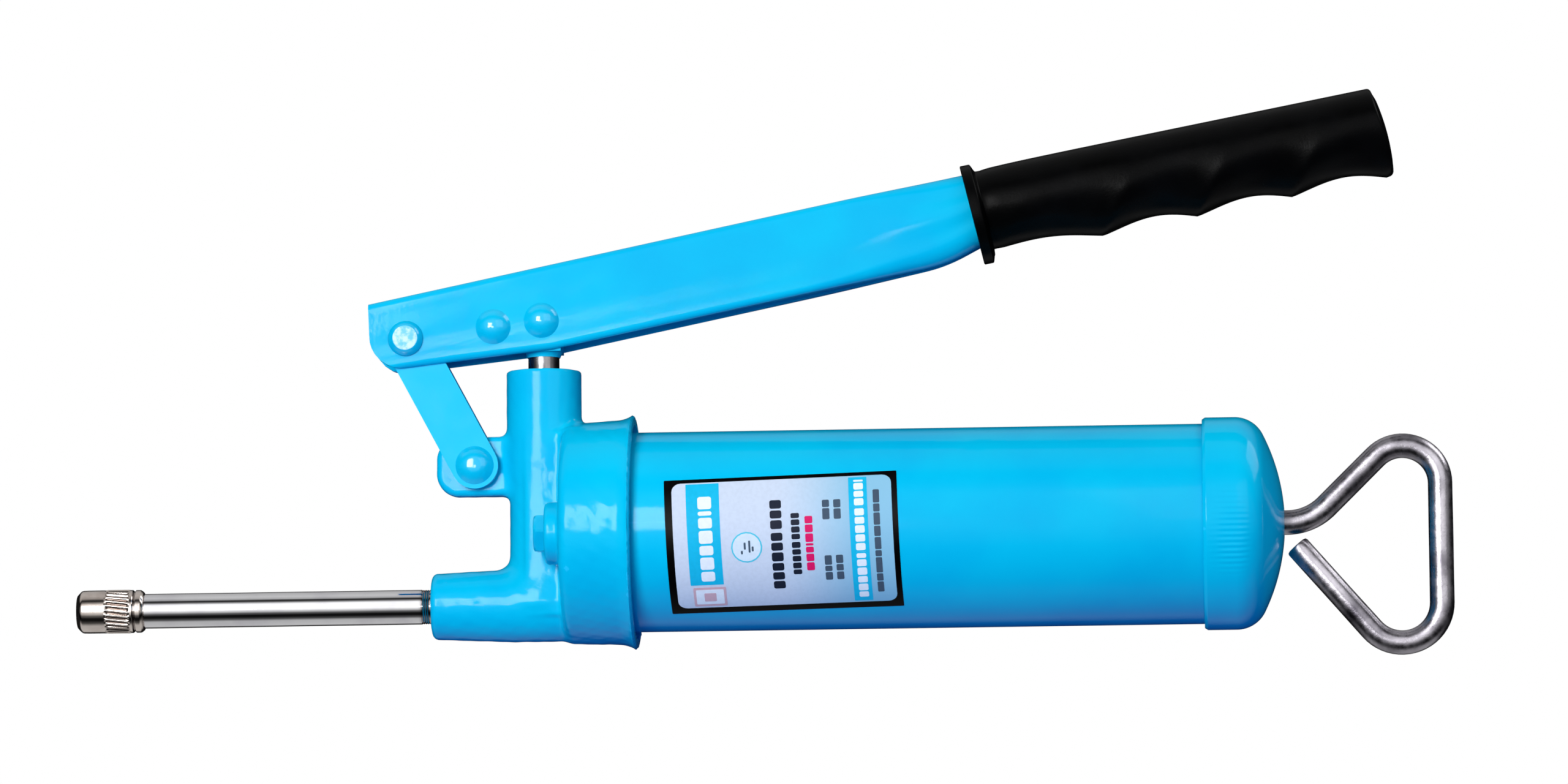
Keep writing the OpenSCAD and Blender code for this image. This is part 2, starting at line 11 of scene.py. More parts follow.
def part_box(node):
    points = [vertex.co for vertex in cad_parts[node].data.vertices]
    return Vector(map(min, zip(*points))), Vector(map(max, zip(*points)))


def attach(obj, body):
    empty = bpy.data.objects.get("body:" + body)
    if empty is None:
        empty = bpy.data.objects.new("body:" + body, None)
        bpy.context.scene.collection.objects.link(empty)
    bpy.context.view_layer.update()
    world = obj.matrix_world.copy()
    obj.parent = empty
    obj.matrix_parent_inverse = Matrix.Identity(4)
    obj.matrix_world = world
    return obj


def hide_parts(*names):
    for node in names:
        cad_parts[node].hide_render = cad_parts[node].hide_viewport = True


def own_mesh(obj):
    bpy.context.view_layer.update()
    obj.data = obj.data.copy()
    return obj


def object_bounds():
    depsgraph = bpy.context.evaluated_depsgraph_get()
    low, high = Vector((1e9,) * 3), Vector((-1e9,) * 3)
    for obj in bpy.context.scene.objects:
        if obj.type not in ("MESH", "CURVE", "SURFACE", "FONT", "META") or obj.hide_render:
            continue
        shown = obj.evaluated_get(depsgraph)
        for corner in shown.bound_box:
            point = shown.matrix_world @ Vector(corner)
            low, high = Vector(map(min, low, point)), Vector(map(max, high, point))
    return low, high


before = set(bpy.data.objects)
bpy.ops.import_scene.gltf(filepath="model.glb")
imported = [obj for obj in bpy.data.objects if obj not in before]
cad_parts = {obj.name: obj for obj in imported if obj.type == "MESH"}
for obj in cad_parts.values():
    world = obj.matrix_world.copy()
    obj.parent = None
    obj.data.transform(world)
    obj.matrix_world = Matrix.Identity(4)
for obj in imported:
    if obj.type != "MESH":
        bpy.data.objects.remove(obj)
cad_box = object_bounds()

MM = 0.001
TAU = 2 * math.pi


# ---- places, taken from the frame (millimetres) ----

def corners(node):
    low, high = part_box(node)
    return [v / MM for v in low], [v / MM for v in high]


def middle(node):
    low, high = corners(node)
    return [(a + b) / 2 for a, b in zip(low, high)]


TUBE_LOW, TUBE_HIGH = corners("barrel_tube")
CAP_LOW, CAP_HIGH = corners("rear_cap")
PIPE_LOW, PIPE_HIGH = corners("nozzle_pipe")
HEAD_LOW, HEAD_HIGH = corners("head_casting")
ROD_LOW, ROD_HIGH = corners("follower_rod")
BARREL_Z = middle("barrel_tube")[2]
BARREL_R = (TUBE_HIGH[2] - TUBE_LOW[2]) / 2
NOZZLE_Z = middle("nozzle_pipe")[2]
PIPE_R = (PIPE_HIGH[2] - PIPE_LOW[2]) / 2
COLUMN_X = middle("plunger_rod")[0]
COLUMN_TOP = HEAD_HIGH[2]
CUP_BACK = HEAD_HIGH[0]
BOSS_FRONT = HEAD_LOW[0]
PLUNGER_PIN = middle("plunger_pin")
LINK_PIN = middle("link_pin")
LUG_PIN = middle("lug_pin")
VENT = middle("vent_plug")
LEVER_SLOPE = math.radians(11.53)
LEVER_HALF = (corners("lever_channel")[1][1] - corners("lever_channel")[0][1]) / 2


def lever_point(u, y, v):
    """A point of the lever, u along it and v across it from the plunger pin, in the row frame."""
    c, s = math.cos(LEVER_SLOPE), math.sin(LEVER_SLOPE)
    return (PLUNGER_PIN[0] + u * c - v * s, y, PLUNGER_PIN[2] + u * s + v * c)


# ---- camera ----

AZIMUTH, ELEVATION, ROLL = (math.radians(a) for a in (3.0, -6.5, 0.58))
LENS, SENSOR = 200, 36
VIEW_WIDTH = 448.7
# middle of the view, along the camera's own right and up, from the coupler's mouth
VIEW_RIGHT, VIEW_UP = 202.65, 61.0

right = Vector((math.cos(AZIMUTH), math.sin(AZIMUTH), 0))
forward = Vector((
    -math.sin(AZIMUTH) * math.cos(ELEVATION),
    math.cos(AZIMUTH) * math.cos(ELEVATION),
    -math.sin(ELEVATION),
))
up = right.cross(forward)
cam_right = right * math.cos(ROLL) - up * math.sin(ROLL)
cam_up = right * math.sin(ROLL) + up * math.cos(ROLL)
aim = right * VIEW_RIGHT + up * VIEW_UP
eye = (aim - forward * (VIEW_WIDTH * LENS / SENSOR)) * MM
cam = bpy.data.objects.new("camera", bpy.data.cameras.new("camera"))
cam.data.lens = LENS
cam.data.sensor_width = SENSOR
cam.data.clip_end = 100
cam.matrix_world = Matrix.Translation(eye) @ Matrix((cam_right, cam_up, -forward)).transposed().to_4x4()
bpy.context.scene.collection.objects.link(cam)
bpy.context.scene.camera = cam
bpy.context.scene.view_settings.view_transform = "Standard"


# ---- materials ----

class Nodes:
    """Short names for building one material's node tree."""

    def __init__(self, name):
        self.material = bpy.data.materials.new(name)
        self.material.use_nodes = True
        self.tree = self.material.node_tree
        self.bsdf = self.tree.nodes["Principled BSDF"]
        self.place = self.add("ShaderNodeTexCoord").outputs["Object"]

    def add(self, kind, **values):
        node = self.tree.nodes.new(kind)
        for key, value in values.items():
            setattr(node, key, value)
        return node

    def link(self, source, socket):
        self.tree.links.new(source, socket)

    def stretch(self, scale):
        node = self.add("ShaderNodeMapping")
        node.inputs["Scale"].default_value = scale
        self.link(self.place, node.inputs["Vector"])
        return node.outputs["Vector"]

    def noise(self, scale, detail=3.0, rough=0.5, place=None):
        node = self.add("ShaderNodeTexNoise")
        node.inputs["Scale"].default_value = scale
        node.inputs["Detail"].default_value = detail
        node.inputs["Roughness"].default_value = rough
        self.link(place or self.place, node.inputs["Vector"])
        return node.outputs["Fac"]

    def span(self, fac, low, high, to_low, to_high):
        node = self.add("ShaderNodeMapRange", interpolation_type="SMOOTHSTEP")
        for key, value in zip(("From Min", "From Max", "To Min", "To Max"), (low, high, to_low, to_high)):
            node.inputs[key].default_value = value
        self.link(fac, node.inputs["Value"])
        return node.outputs["Result"]

    def axis(self, name):
        node = self.add("ShaderNodeSeparateXYZ")
        self.link(self.place, node.inputs[0])
        return node.outputs[name]

    def mix(self, fac, a, b):
        node = self.add("ShaderNodeMix", data_type="RGBA")
        self.link(fac, node.inputs["Factor"])
        for socket, value in ((node.inputs["A"], a), (node.inputs["B"], b)):
            if isinstance(value, tuple):
                socket.default_value = (*value, 1)
            else:
                self.link(value, socket)
        return node.outputs["Result"]

    def times(self, a, b):
        node = self.add("ShaderNodeMath", operation="MULTIPLY")
        self.link(a, node.inputs[0])
        self.link(b, node.inputs[1])
        return node.outputs[0]

    def colour(self, source):
        self.link(source, self.bsdf.inputs["Base Color"])

    def rough(self, source):
        self.link(source, self.bsdf.inputs["Roughness"])

    def bump(self, height, strength, distance):
        node = self.add("ShaderNodeBump")
        node.inputs["Strength"].default_value = strength
        node.inputs["Distance"].default_value = distance
        self.link(height, node.inputs["Height"])
        before = self.bsdf.inputs["Normal"].links
        if before:
            self.link(before[0].from_socket, node.inputs["Normal"])
        self.link(node.outputs["Normal"], self.bsdf.inputs["Normal"])

    def done(self, **values):
        for key, value in values.items():
            self.bsdf.inputs[key.replace("_", " ")].default_value = value
        return self.material


ENAMEL = (0.001, 0.51, 0.76)
ENAMEL_DEEP = (0.0008, 0.45, 0.73)
# paler blue painted on sharp edges as a highlight
ENAMEL_EDGE_HIGHLIGHT = (0.03, 0.60, 0.92)


def enamel(name, peel=0.05, cast=0.0, gloss=0.1):
    """Glossy sky-blue paint, paler on sharp edges as a painted highlight. peel is its orange peel, and cast
    the depth of the casting's skin under it.
    """
    n = Nodes(name)
    cloud = n.span(n.noise(35, 4), 0.3, 0.75, 0, 1)
    base = n.mix(cloud, ENAMEL, ENAMEL_DEEP)
    # sharp edges mixed towards the paler blue: a painted highlight
    edge = n.span(n.add("ShaderNodeNewGeometry").outputs["Pointiness"], 0.52, 0.6, 0, 0.5)
    n.colour(n.mix(edge, base, ENAMEL_EDGE_HIGHLIGHT))
    n.rough(n.span(n.noise(160, 3), 0.3, 0.7, 0.08, 0.13))
    n.bump(n.noise(700, 2), peel, 0.0004)
    if cast:
        n.bump(n.noise(240, 5, 0.6), cast, 0.0006)
    return n.done(Specular_IOR_Level=gloss)


def pin_top_highlight_paint():
    """Pale paint on the flat of a pin head: a painted highlight where the flat faces the lamp."""
    n = Nodes("rivet_top_painted_highlight")
    n.colour(n.mix(n.span(n.noise(420, 4, 0.6), 0.4, 0.62, 0, 1), (0.16, 0.60, 0.82), (0.62, 0.84, 0.92)))
    n.rough(n.span(n.noise(300, 3), 0.3, 0.7, 0.3, 0.45))
    n.bump(n.noise(500, 4, 0.6), 0.3, 0.0003)
    return n.done(Specular_IOR_Level=0.12)


def metal(name, colour, dark, low, high, streak=(1, 1, 1), scale=400, relief=0.05):
    """Bare or plated metal, with streaks where the texture is stretched along one axis."""
    n = Nodes(name)
    grain = n.noise(scale, 5, 0.6, n.stretch(streak))
    n.colour(n.mix(n.span(n.noise(90, 4), 0.35, 0.8, 0, 1), colour, dark))
    n.rough(n.span(grain, 0.3, 0.75, low, high))
    n.bump(grain, relief, 0.0002)
    return n.done(Metallic=1.0)


def chrome():
    """Bright plating, with the stained thread run-out where the pipe enters the head."""
    n = Nodes("chrome_plate")
    x = n.axis("X")
    stain = n.span(x, (BOSS_FRONT - 3.4) * MM, (BOSS_FRONT - 1.6) * MM, 0, 0.55)
    clean = n.mix(n.span(n.noise(120, 4), 0.4, 0.8, 0, 1), (0.80, 0.80, 0.82), (0.70, 0.69, 0.73))
    n.colour(n.mix(stain, clean, (0.10, 0.045, 0.04)))
    n.rough(n.span(n.noise(260, 4, 0.6, n.stretch((0.15, 1, 1))), 0.35, 0.8, 0.03, 0.09))
    n.bump(n.noise(300, 3, 0.5, n.stretch((0.1, 1, 1))), 0.03, 0.0002)
    return n.done(Metallic=1.0)


def nickel():
    """Warm plating, with dirt and painted shade low in the knurl and in the groove behind it."""
    n = Nodes("nickel_plate")
    shift = n.add("ShaderNodeVectorMath", operation="MULTIPLY_ADD")
    shift.inputs[1].default_value = (0, 1, 1)
    shift.inputs[2].default_value = (0, 0, -NOZZLE_Z * MM)
    n.link(n.place, shift.inputs[0])
    far = n.add("ShaderNodeVectorMath", operation="LENGTH")
    n.link(shift.outputs[0], far.inputs[0])
    clean = n.mix(n.span(n.noise(110, 4), 0.4, 0.8, 0, 1), (0.74, 0.67, 0.62), (0.48, 0.40, 0.36))
    # darker low in the knurl and in the groove: dirt together with painted shade
    low = n.span(far.outputs["Value"], 5.86 * MM, 6.12 * MM, 0.95, 0)
    past_front = n.span(n.axis("X"), 7.4 * MM, 8.4 * MM, 0, 1)
    before_back = n.span(n.axis("X"), 16.3 * MM, 17.0 * MM, 1, 0)
    dirt_and_shade = n.times(low, n.times(past_front, before_back))
    grime_and_shade = n.mix(n.noise(500, 3), (0.05, 0.035, 0.03), (0.14, 0.10, 0.085))
    n.colour(n.mix(dirt_and_shade, clean, grime_and_shade))
    n.rough(n.span(n.noise(300, 4, 0.6, n.stretch((0.2, 1, 1))), 0.35, 0.8, 0.08, 0.2))
    return n.done(Metallic=1.0)


def rubber(name, tone, low, high, relief=0.12):
    n = Nodes(name)
    dusty = (tone * 2.2, tone * 2.2, tone * 2.4)
    n.colour(n.mix(n.span(n.noise(60, 4), 0.3, 0.8, 0, 1), (tone,) * 3, dusty))
    n.rough(n.span(n.noise(180, 4), 0.3, 0.7, low, high))
    n.bump(n.noise(1400, 3, 0.6), relief, 0.0003)
    n.bump(n.noise(70, 2), relief, 0.0008)
    return n.done(Specular_IOR_Level=0.035)


def printed(name, colour, other=None, low=0.3, high=0.42):
    """Print on the label film. Where other is given, the colour drifts to it towards the rear edge as painted
    shading.
    """
    n = Nodes(name)
    speck = n.span(n.noise(900, 3), 0.35, 0.7, 0, 0.25)
    shade = tuple(c * 0.8 for c in colour)
    base = n.mix(speck, colour, shade)
    if other:
        # colour fades towards the rear edge: painted shading
        fade_as_shading = n.span(n.axis("X"), (LABEL_X - 4) * MM, (LABEL_X + 26) * MM, 0, 0.9)
        base = n.mix(fade_as_shading, base, other)
    n.colour(base)
    n.rough(n.span(n.noise(300, 3), 0.3, 0.7, low, high))
    n.bump(n.noise(500, 2), 0.03, 0.0002)
    return n.done(Specular_IOR_Level=0.06)


LABEL_X = middle("barrel_label")[0]
PAINT = enamel("enamel")
CAST_PAINT = enamel("enamel_casting", 0.07, 0.10)
ROD_STEEL = metal("rod_steel", (0.42, 0.40, 0.44), (0.05, 0.045, 0.06), 0.22, 0.40, (1, 1, 1), 420, 0.4)
BRIGHT = metal("bright_steel", (0.62, 0.62, 0.64), (0.42, 0.42, 0.44), 0.2, 0.34, (1, 1, 0.2))
OILED = metal("oiled_steel", (0.22, 0.22, 0.23), (0.06, 0.055, 0.05), 0.16, 0.3, (0.3, 0.3, 1))
SPRING = metal("spring_steel", (0.30, 0.30, 0.32), (0.14, 0.14, 0.15), 0.3, 0.42)
NICKEL = nickel()
CHROME = chrome()
GRIP = rubber("grip_rubber", 0.0010, 0.26, 0.36)
SEAL = rubber("seal_rubber", 0.012, 0.5, 0.62)
FIBRE = rubber("gasket_fibre", 0.05, 0.7, 0.85)
RIVET_PAINT = enamel("enamel_rivet", 0.08, gloss=0.55)
# pale flat top of the link pin: a painted highlight
PIN_TOP_HIGHLIGHT = pin_top_highlight_paint()
LABEL_BLACK = printed("label_black", (0.0004, 0.0004, 0.0006), low=0.3, high=0.4)
# silver turns bluer towards the rear edge as painted shading
LABEL_SILVER = printed("label_silver", (0.60, 0.66, 0.76), (0.22, 0.50, 0.66))
LABEL_CYAN = printed("label_cyan", (0.01, 0.47, 0.72))
LABEL_AQUA = printed("label_aqua", (0.08, 0.55, 0.70))
LABEL_WHITE = printed("label_white", (0.82, 0.86, 0.90))
LABEL_PALE = printed("label_pale", (0.66, 0.76, 0.84))
LABEL_INK = printed("label_ink", (0.012, 0.016, 0.03))
LABEL_GREY = printed("label_grey", (0.06, 0.09, 0.13))
LABEL_PINK = printed("label_pink", (0.72, 0.01, 0.12))
LABEL_ROSE = printed("label_rose", (0.66, 0.42, 0.46))


# ---- mesh helpers ----

def piece(name, verts, faces, material, body, replaces=(), crease=32, face_material=None):
    """A new visible piece from points in millimetres, smooth except along edges sharper than crease."""
    mesh = bpy.data.meshes.new(name)
    mesh.from_pydata((np.array(verts, float) * MM).tolist(), [], faces)
    for m in material if isinstance(material, list) else [material]:
        mesh.materials.append(m)
    if face_material is not None:
        mesh.polygons.foreach_set("material_index", face_material)
    mesh.polygons.foreach_set("use_smooth", [True] * len(mesh.polygons))
    mesh.set_sharp_from_angle(angle=math.radians(crease))
    mesh.validate()
    made = bpy.data.objects.new(name, mesh)
    bpy.context.scene.collection.objects.link(made)
    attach(made, body)
    if replaces:
        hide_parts(*replaces)
    return made


def soften(made, width, segments=2, angle=40):
    """Small rounded edges."""
    bevel = made.modifiers.new("edges", "BEVEL")
    bevel.width = width * MM
    bevel.segments = segments
    bevel.limit_method = "ANGLE"
    bevel.angle_limit = math.radians(angle)
    bevel.harden_normals = True


def weld(made):
    """Joins points that coincide, so that no edge or face is without size."""
    mesh = bmesh.new()
    mesh.from_mesh(made.data)
    bmesh.ops.remove_doubles(mesh, verts=mesh.verts, dist=0.01 * MM)
    mesh.to_mesh(made.data)
    mesh.free()


def rounded(points, closed=False, steps=6):
    """A path through (a, b) or (a, b, radius) points, with an arc at each point that has a radius."""
    out = []
    count = len(points)
    for i, p in enumerate(points):
        here = Vector(p[:2])
        radius = p[2] if len(p) > 2 else 0
        if not radius or (not closed and i in (0, count - 1)):
            out.append(tuple(here))
            continue
        before = (Vector(points[i - 1][:2]) - here).normalized()
        after = (Vector(points[(i + 1) % count][:2]) - here).normalized()
        half = before.angle(after) / 2
        reach = radius / math.tan(half)
        centre = here + (before + after).normalized() * (radius / math.sin(half))
        a = here + before * reach - centre
        b = here + after * reach - centre
        turn = a.angle_signed(b)
        for k in range(steps + 1):
            t = -turn * k / steps
            out.append((centre.x + a.x * math.cos(t) - a.y * math.sin(t),
                        centre.y + a.x * math.sin(t) + a.y * math.cos(t)))
    return out


def turned(profile, place, segments=96, closed=False, reach=None):
    """Verts and faces of a body turned from profile, a list of (along, radius).

    place maps (along, side, rise) to the row frame, and reach changes a radius, given (along, radius, angle).
    """
    verts, faces, rings = [], [], []
    for along, r in profile:
        if r < 1e-6:
            rings.append([len(verts)])
            verts.append(place(along, 0, 0))
            continue
        ring = []
        for k in range(segments):
            a = TAU * k / segments
            rr = reach(along, r, a) if reach else r
            ring.append(len(verts))
            verts.append(place(along, rr * math.sin(a), rr * math.cos(a)))
        rings.append(ring)
    pairs = list(zip(rings, rings[1:])) + ([(rings[-1], rings[0])] if closed else [])
    for a, b in pairs:
        for k in range(segments):
            m = (k + 1) % segments
            if len(a) == 1 and len(b) > 1:
                faces.append([a[0], b[m], b[k]])
            elif len(b) == 1 and len(a) > 1:
                faces.append([a[k], a[m], b[0]])
            elif len(a) > 1:
                faces.append([a[k], a[m], b[m], b[k]])
    return verts, faces


def along_x(z):
    return lambda a, s, r: (a, s, z + r)


def along_y(x, z):
    return lambda a, s, r: (x - s, a, z + r)


def loft(rings, capped=True):
    """Verts and faces of a skin through closed rings of the same number of points."""
    size = len(rings[0])
    verts = [p for ring in rings for p in ring]
    faces = []
    for i in range(len(rings) - 1):
        for k in range(size):
            m = (k + 1) % size
            faces.append([i * size + k, i * size + m, (i + 1) * size + m, (i + 1) * size + k])
    if capped:
        faces.append(list(range(size))[::-1])
        faces.append([(len(rings) - 1) * size + k for k in range(size)])
    return verts, faces


# ---- head casting: a distance field, so that every junction has a cast fillet ----

def blend_min(a, b, k):
    h = np.maximum(k - np.abs(a - b), 0) / k
    return np.minimum(a, b) - h * h * k / 4


def blend_max(a, b, k):
    return -blend_min(-a, -b, k)


def soft_corner(dx, dy, soft):
    """Distance to a section whose two faces lie at dx and dy, with its edge rounded by soft."""
    dx, dy = dx + soft, dy + soft
    return np.hypot(np.maximum(dx, 0), np.maximum(dy, 0)) + np.minimum(np.maximum(dx, dy), 0) - soft


def bar_field(radial, along, low, high, r, soft):
    return soft_corner(radial - r, np.abs(along - (low + high) / 2) - (high - low) / 2, soft)


def plate_field(x, z, x0, x1, z0, z1, corner):
    dx = np.abs(x - (x0 + x1) / 2) - (x1 - x0) / 2 + corner
    dz = np.abs(z - (z0 + z1) / 2) - (z1 - z0) / 2 + corner
    return np.hypot(np.maximum(dx, 0), np.maximum(dz, 0)) + np.minimum(np.maximum(dx, dz), 0) - corner


OUTLET_R, OUTLET_GROWTH = 9.35, 1.05
COLUMN_R, COLUMN_WAIST = 10.7, 0.75
CUP_FRONT, CUP_R, CUP_GROWTH = 140, 31.1, 1.1
FLARE_X, FLARE_R, FLARE_SLOPE = 160, 33.5, 0.74
VENT_BOSS_R = 8.9
LUG_R = 8.5
PLUNGER_BORE = 4.75
GRAIN_DEPTH = 0.05


def casting_field(p):
    """Signed distance to the head casting, in millimetres."""
    x, y, z = p[..., 0], p[..., 1], p[..., 2]
    zb = z - BARREL_Z
    from_barrel = np.hypot(y, zb)
    from_column = np.hypot(x - COLUMN_X, y)
    from_nozzle = np.hypot(y, z - NOZZLE_Z)
    boss_r = OUTLET_R + OUTLET_GROWTH * np.clip((x - BOSS_FRONT) / 24, 0, 1)
    outlet = bar_field(from_nozzle, x, BOSS_FRONT + 0.6, CUP_BACK - 10, boss_r, 1.7)
    column_r = COLUMN_R - COLUMN_WAIST * np.clip((COLUMN_TOP - 26 - z) / 8, 0, 1)
    column = bar_field(from_column, z, NOZZLE_Z, COLUMN_TOP, column_r, 0.7)
    web_half = 10.3 + 0.12 * (x - 138)
    web = soft_corner(np.abs(y) - web_half, plate_field(x, zb, 129.4, 146, -24, 28.2, 1.2), 0.6)
    lug_half = 3.55 - 0.06 * (124 - x)
    lug_side = plate_field(x, z, 103.4, 130, LUG_PIN[2] - LUG_R, LUG_PIN[2] + LUG_R, 6.5)
    lug = soft_corner(np.abs(y) - lug_half, lug_side, 1.7)
    cup_r = CUP_R + CUP_GROWTH * np.clip((x - CUP_FRONT) / 18, 0, 1)
    cup = bar_field(from_barrel, x, CUP_FRONT, CUP_BACK - 1.2, cup_r, 2.6)
    past_lip = from_barrel - FLARE_R
    flare = np.maximum(past_lip + (FLARE_X - 0.2 - x) * FLARE_SLOPE, past_lip + (x - FLARE_X - 0.2) * 8)
    flare = blend_max(flare, 155.5 - x, 0.3)
    boss = bar_field(np.hypot(y - VENT[1], z - VENT[2]), x, 135.8, 143, VENT_BOSS_R, 1.2)
    body = blend_min(outlet, column, 4.5)
    body = blend_min(body, web, 1.4)
    body = blend_min(body, lug, 2.6)
    body = blend_min(body, cup, 2.2)
    body = blend_min(body, boss, 1.2)
    body = blend_min(body, flare, 1.6)
    skin = np.sin(x * 0.9 + 0.4 * z) * np.sin(z * 0.7 - 0.5 * y) * np.sin(y * 0.8 + 0.3 * x)
    body = body + GRAIN_DEPTH * skin
    body = blend_max(body, -bar_field(from_barrel, x, 146, 175, BARREL_R + 0.35, 0.1), 0.5)
    bore = bar_field(from_column, z, COLUMN_TOP - 26, COLUMN_TOP + 9, PLUNGER_BORE, 0.1)
    body = blend_max(body, -bore, 0.8)
    body = blend_max(body, -bar_field(from_barrel, x, 156.6, 175, BARREL_R + 2.1, 0.3), 0.3)
    return blend_max(body, -bar_field(from_nozzle, x, BOSS_FRONT - 9, 111, PIPE_R + 0.12, 0.1), 0.6)


def surface_net(field, low, high, step):
    """Quads on the zero surface of a distance field, each corner pulled onto the surface."""
    axes = [np.arange(a, b, step) for a, b in zip(low, high)]
    values = field(np.stack(np.meshgrid(*axes, indexing="ij"), -1))
    inside = values < 0
    shape = [n - 1 for n in values.shape]

    def part(array, c):
        return array[tuple(slice(o, o + n) for o, n in zip(c, shape))]

    cube = [(i, j, k) for i in (0, 1) for j in (0, 1) for k in (0, 1)]
    count = sum(part(inside, c).astype(int) for c in cube)
    active = (count > 0) & (count < 8)
    index = np.full(shape, -1)
    index[active] = np.arange(active.sum())
    cells = np.argwhere(active).astype(float)
    total, hits = np.zeros_like(cells), np.zeros(len(cells))
    for axis in range(3):
        for c in (c for c in cube if c[axis] == 0):
            far = tuple(v + (n == axis) for n, v in enumerate(c))
            a, b = part(values, c)[active], part(values, far)[active]
            cut = (a < 0) != (b < 0)
            t = np.where(cut, a / np.where(cut, a - b, 1), 0)
            spot = np.array(c, float) + np.outer(t, np.eye(3)[axis])
            total += spot * cut[:, None]
            hits += cut
    points = (cells + total / hits[:, None]) * step + np.array([a[0] for a in axes])
    for _ in range(2):
        d = field(points)
        slope = np.stack([(field(points + h) - field(points - h)) / 0.1 for h in np.eye(3) * 0.05], -1)
        move = d[:, None] * slope / np.maximum((slope ** 2).sum(1), 0.2)[:, None]
        points = points - np.clip(move, -0.4 * step, 0.4 * step)
    faces = []
    for axis in range(3):
        b, c = (axis + 1) % 3, (axis + 2) % 3

        def cut_at(array, first, second, ahead):
            pick = [None] * 3
            pick[axis] = ahead
            pick[b], pick[c] = first, second
            return array[tuple(pick)]

        trim, lo, hi = slice(1, -1), slice(None, -1), slice(1, None)
        start = cut_at(inside, trim, trim, lo)
        end = cut_at(inside, trim, trim, hi)
        around = ((lo, lo), (hi, lo), (hi, hi), (lo, hi))
        quads = np.stack([cut_at(index, s, t, slice(None)) for s, t in around], -1)
        out = quads[start & ~end]
        back = quads[~start & end][:, ::-1]
        faces += out.tolist() + back.tolist()
    return points, faces


def build_casting():
    margin = 1.5
    low = [v - margin for v in HEAD_LOW]
    high = [v + margin for v in HEAD_HIGH]
    step = 0.55
    points, faces = surface_net(casting_field, low, high, step)
    piece("head_shell", points, faces, CAST_PAINT, "head", ["head_casting"], 60)


# ---- barrel, cap and label ----

def build_barrel():
    front, back = TUBE_LOW[0], TUBE_HIGH[0]
    inner = BARREL_R - 1.2
    ends = [(front, inner), (front, BARREL_R), (back, BARREL_R), (back, inner)]
    outline = rounded([(*end, 0.3) for end in ends], True, 3)
    verts, faces = turned(outline, along_x(BARREL_Z), 192, True)
    piece("barrel_shell", verts, faces, PAINT, "barrel", ["barrel_tube"])


def build_cap():
    front, apex = CAP_LOW[0], CAP_HIGH[0]
    r = 30.25
    shoulder_x, shoulder_r = 331.2, 9
    drop = apex - shoulder_x
    c = r - shoulder_r
    dome_r = (drop * drop + c * c - shoulder_r * shoulder_r) / (2 * (drop - shoulder_r))
    dome_x = apex - dome_r
    meet = math.atan2(c, shoulder_x - dome_x)
    hole = 3.62
    seat = BARREL_R + 0.05
    outer = rounded([(front + 3.2, seat), (front + 0.1, seat, 0.4), (front, r - 0.6, 0.3),
                     (front + 0.9, r, 0.6), (front + 3.6, r)], False, 4)
    outer += [(front + 4 + k * 0.4, r) for k in range(int((shoulder_x - front - 4) / 0.4) + 1)]
    for k in range(25):
        a = (math.pi / 2 - meet) * k / 24
        outer.append((shoulder_x + shoulder_r * math.sin(a), c + shoulder_r * math.cos(a)))
    last = math.asin((hole + 0.5) / dome_r)
    for k in range(1, 25):
        a = meet + (last - meet) * k / 24
        outer.append((dome_x + dome_r * math.cos(a), dome_r * math.sin(a)))
    tip = dome_x + dome_r * math.cos(last)
    outer += [(tip - 0.25, hole), (tip - 3, hole)]
    inner = [(dome_x + (dome_r - 1.8) * math.cos(a), (dome_r - 1.8) * math.sin(a))
             for a in (last + (meet - last) * k / 10 for k in range(11))]
    inner += [(shoulder_x + (shoulder_r - 1.8) * math.sin(a), c + (shoulder_r - 1.8) * math.cos(a))
              for a in ((math.pi / 2 - meet) * (1 - k / 10) for k in range(11))]

    def ribs(x, rad, a):
        """Fine spinning ribs round the near side of the shoulder, and a scribed ring ahead of them."""
        if rad < r - 2:
            return rad
        ring = -0.16 * math.exp(-((x - front - 2.6) / 0.4) ** 2)
        rise = (a % TAU) / TAU * 360
        near = math.exp(-((rise - 259) / 19) ** 4)
        window = math.exp(-((x - front - 8.2) / 4.2) ** 4)
        return rad + ring + 0.09 * near * window * math.sin(rise * TAU / 3.0)

    verts, faces = turned(outer + inner, along_x(BARREL_Z), 720, True, ribs)
    weld(piece("cap_shell", verts, faces, PAINT, "barrel", ["rear_cap"], 40))


LABEL_LEN, LABEL_ARC = 65.8, 42.2
LABEL_SKEW = math.radians(2.0)
LABEL_TURN = math.radians(-15.3)


def label_point(a, b, lift):
    """A point a along the barrel and b up round it from the label's middle, lift above the tube."""
    x = a * math.cos(LABEL_SKEW) - b * math.sin(LABEL_SKEW)
    arc = a * math.sin(LABEL_SKEW) + b * math.cos(LABEL_SKEW)
    r = BARREL_R + lift
    t = LABEL_TURN + arc / BARREL_R
    return (LABEL_X + x, -r * math.cos(t), BARREL_Z + r * math.sin(t))


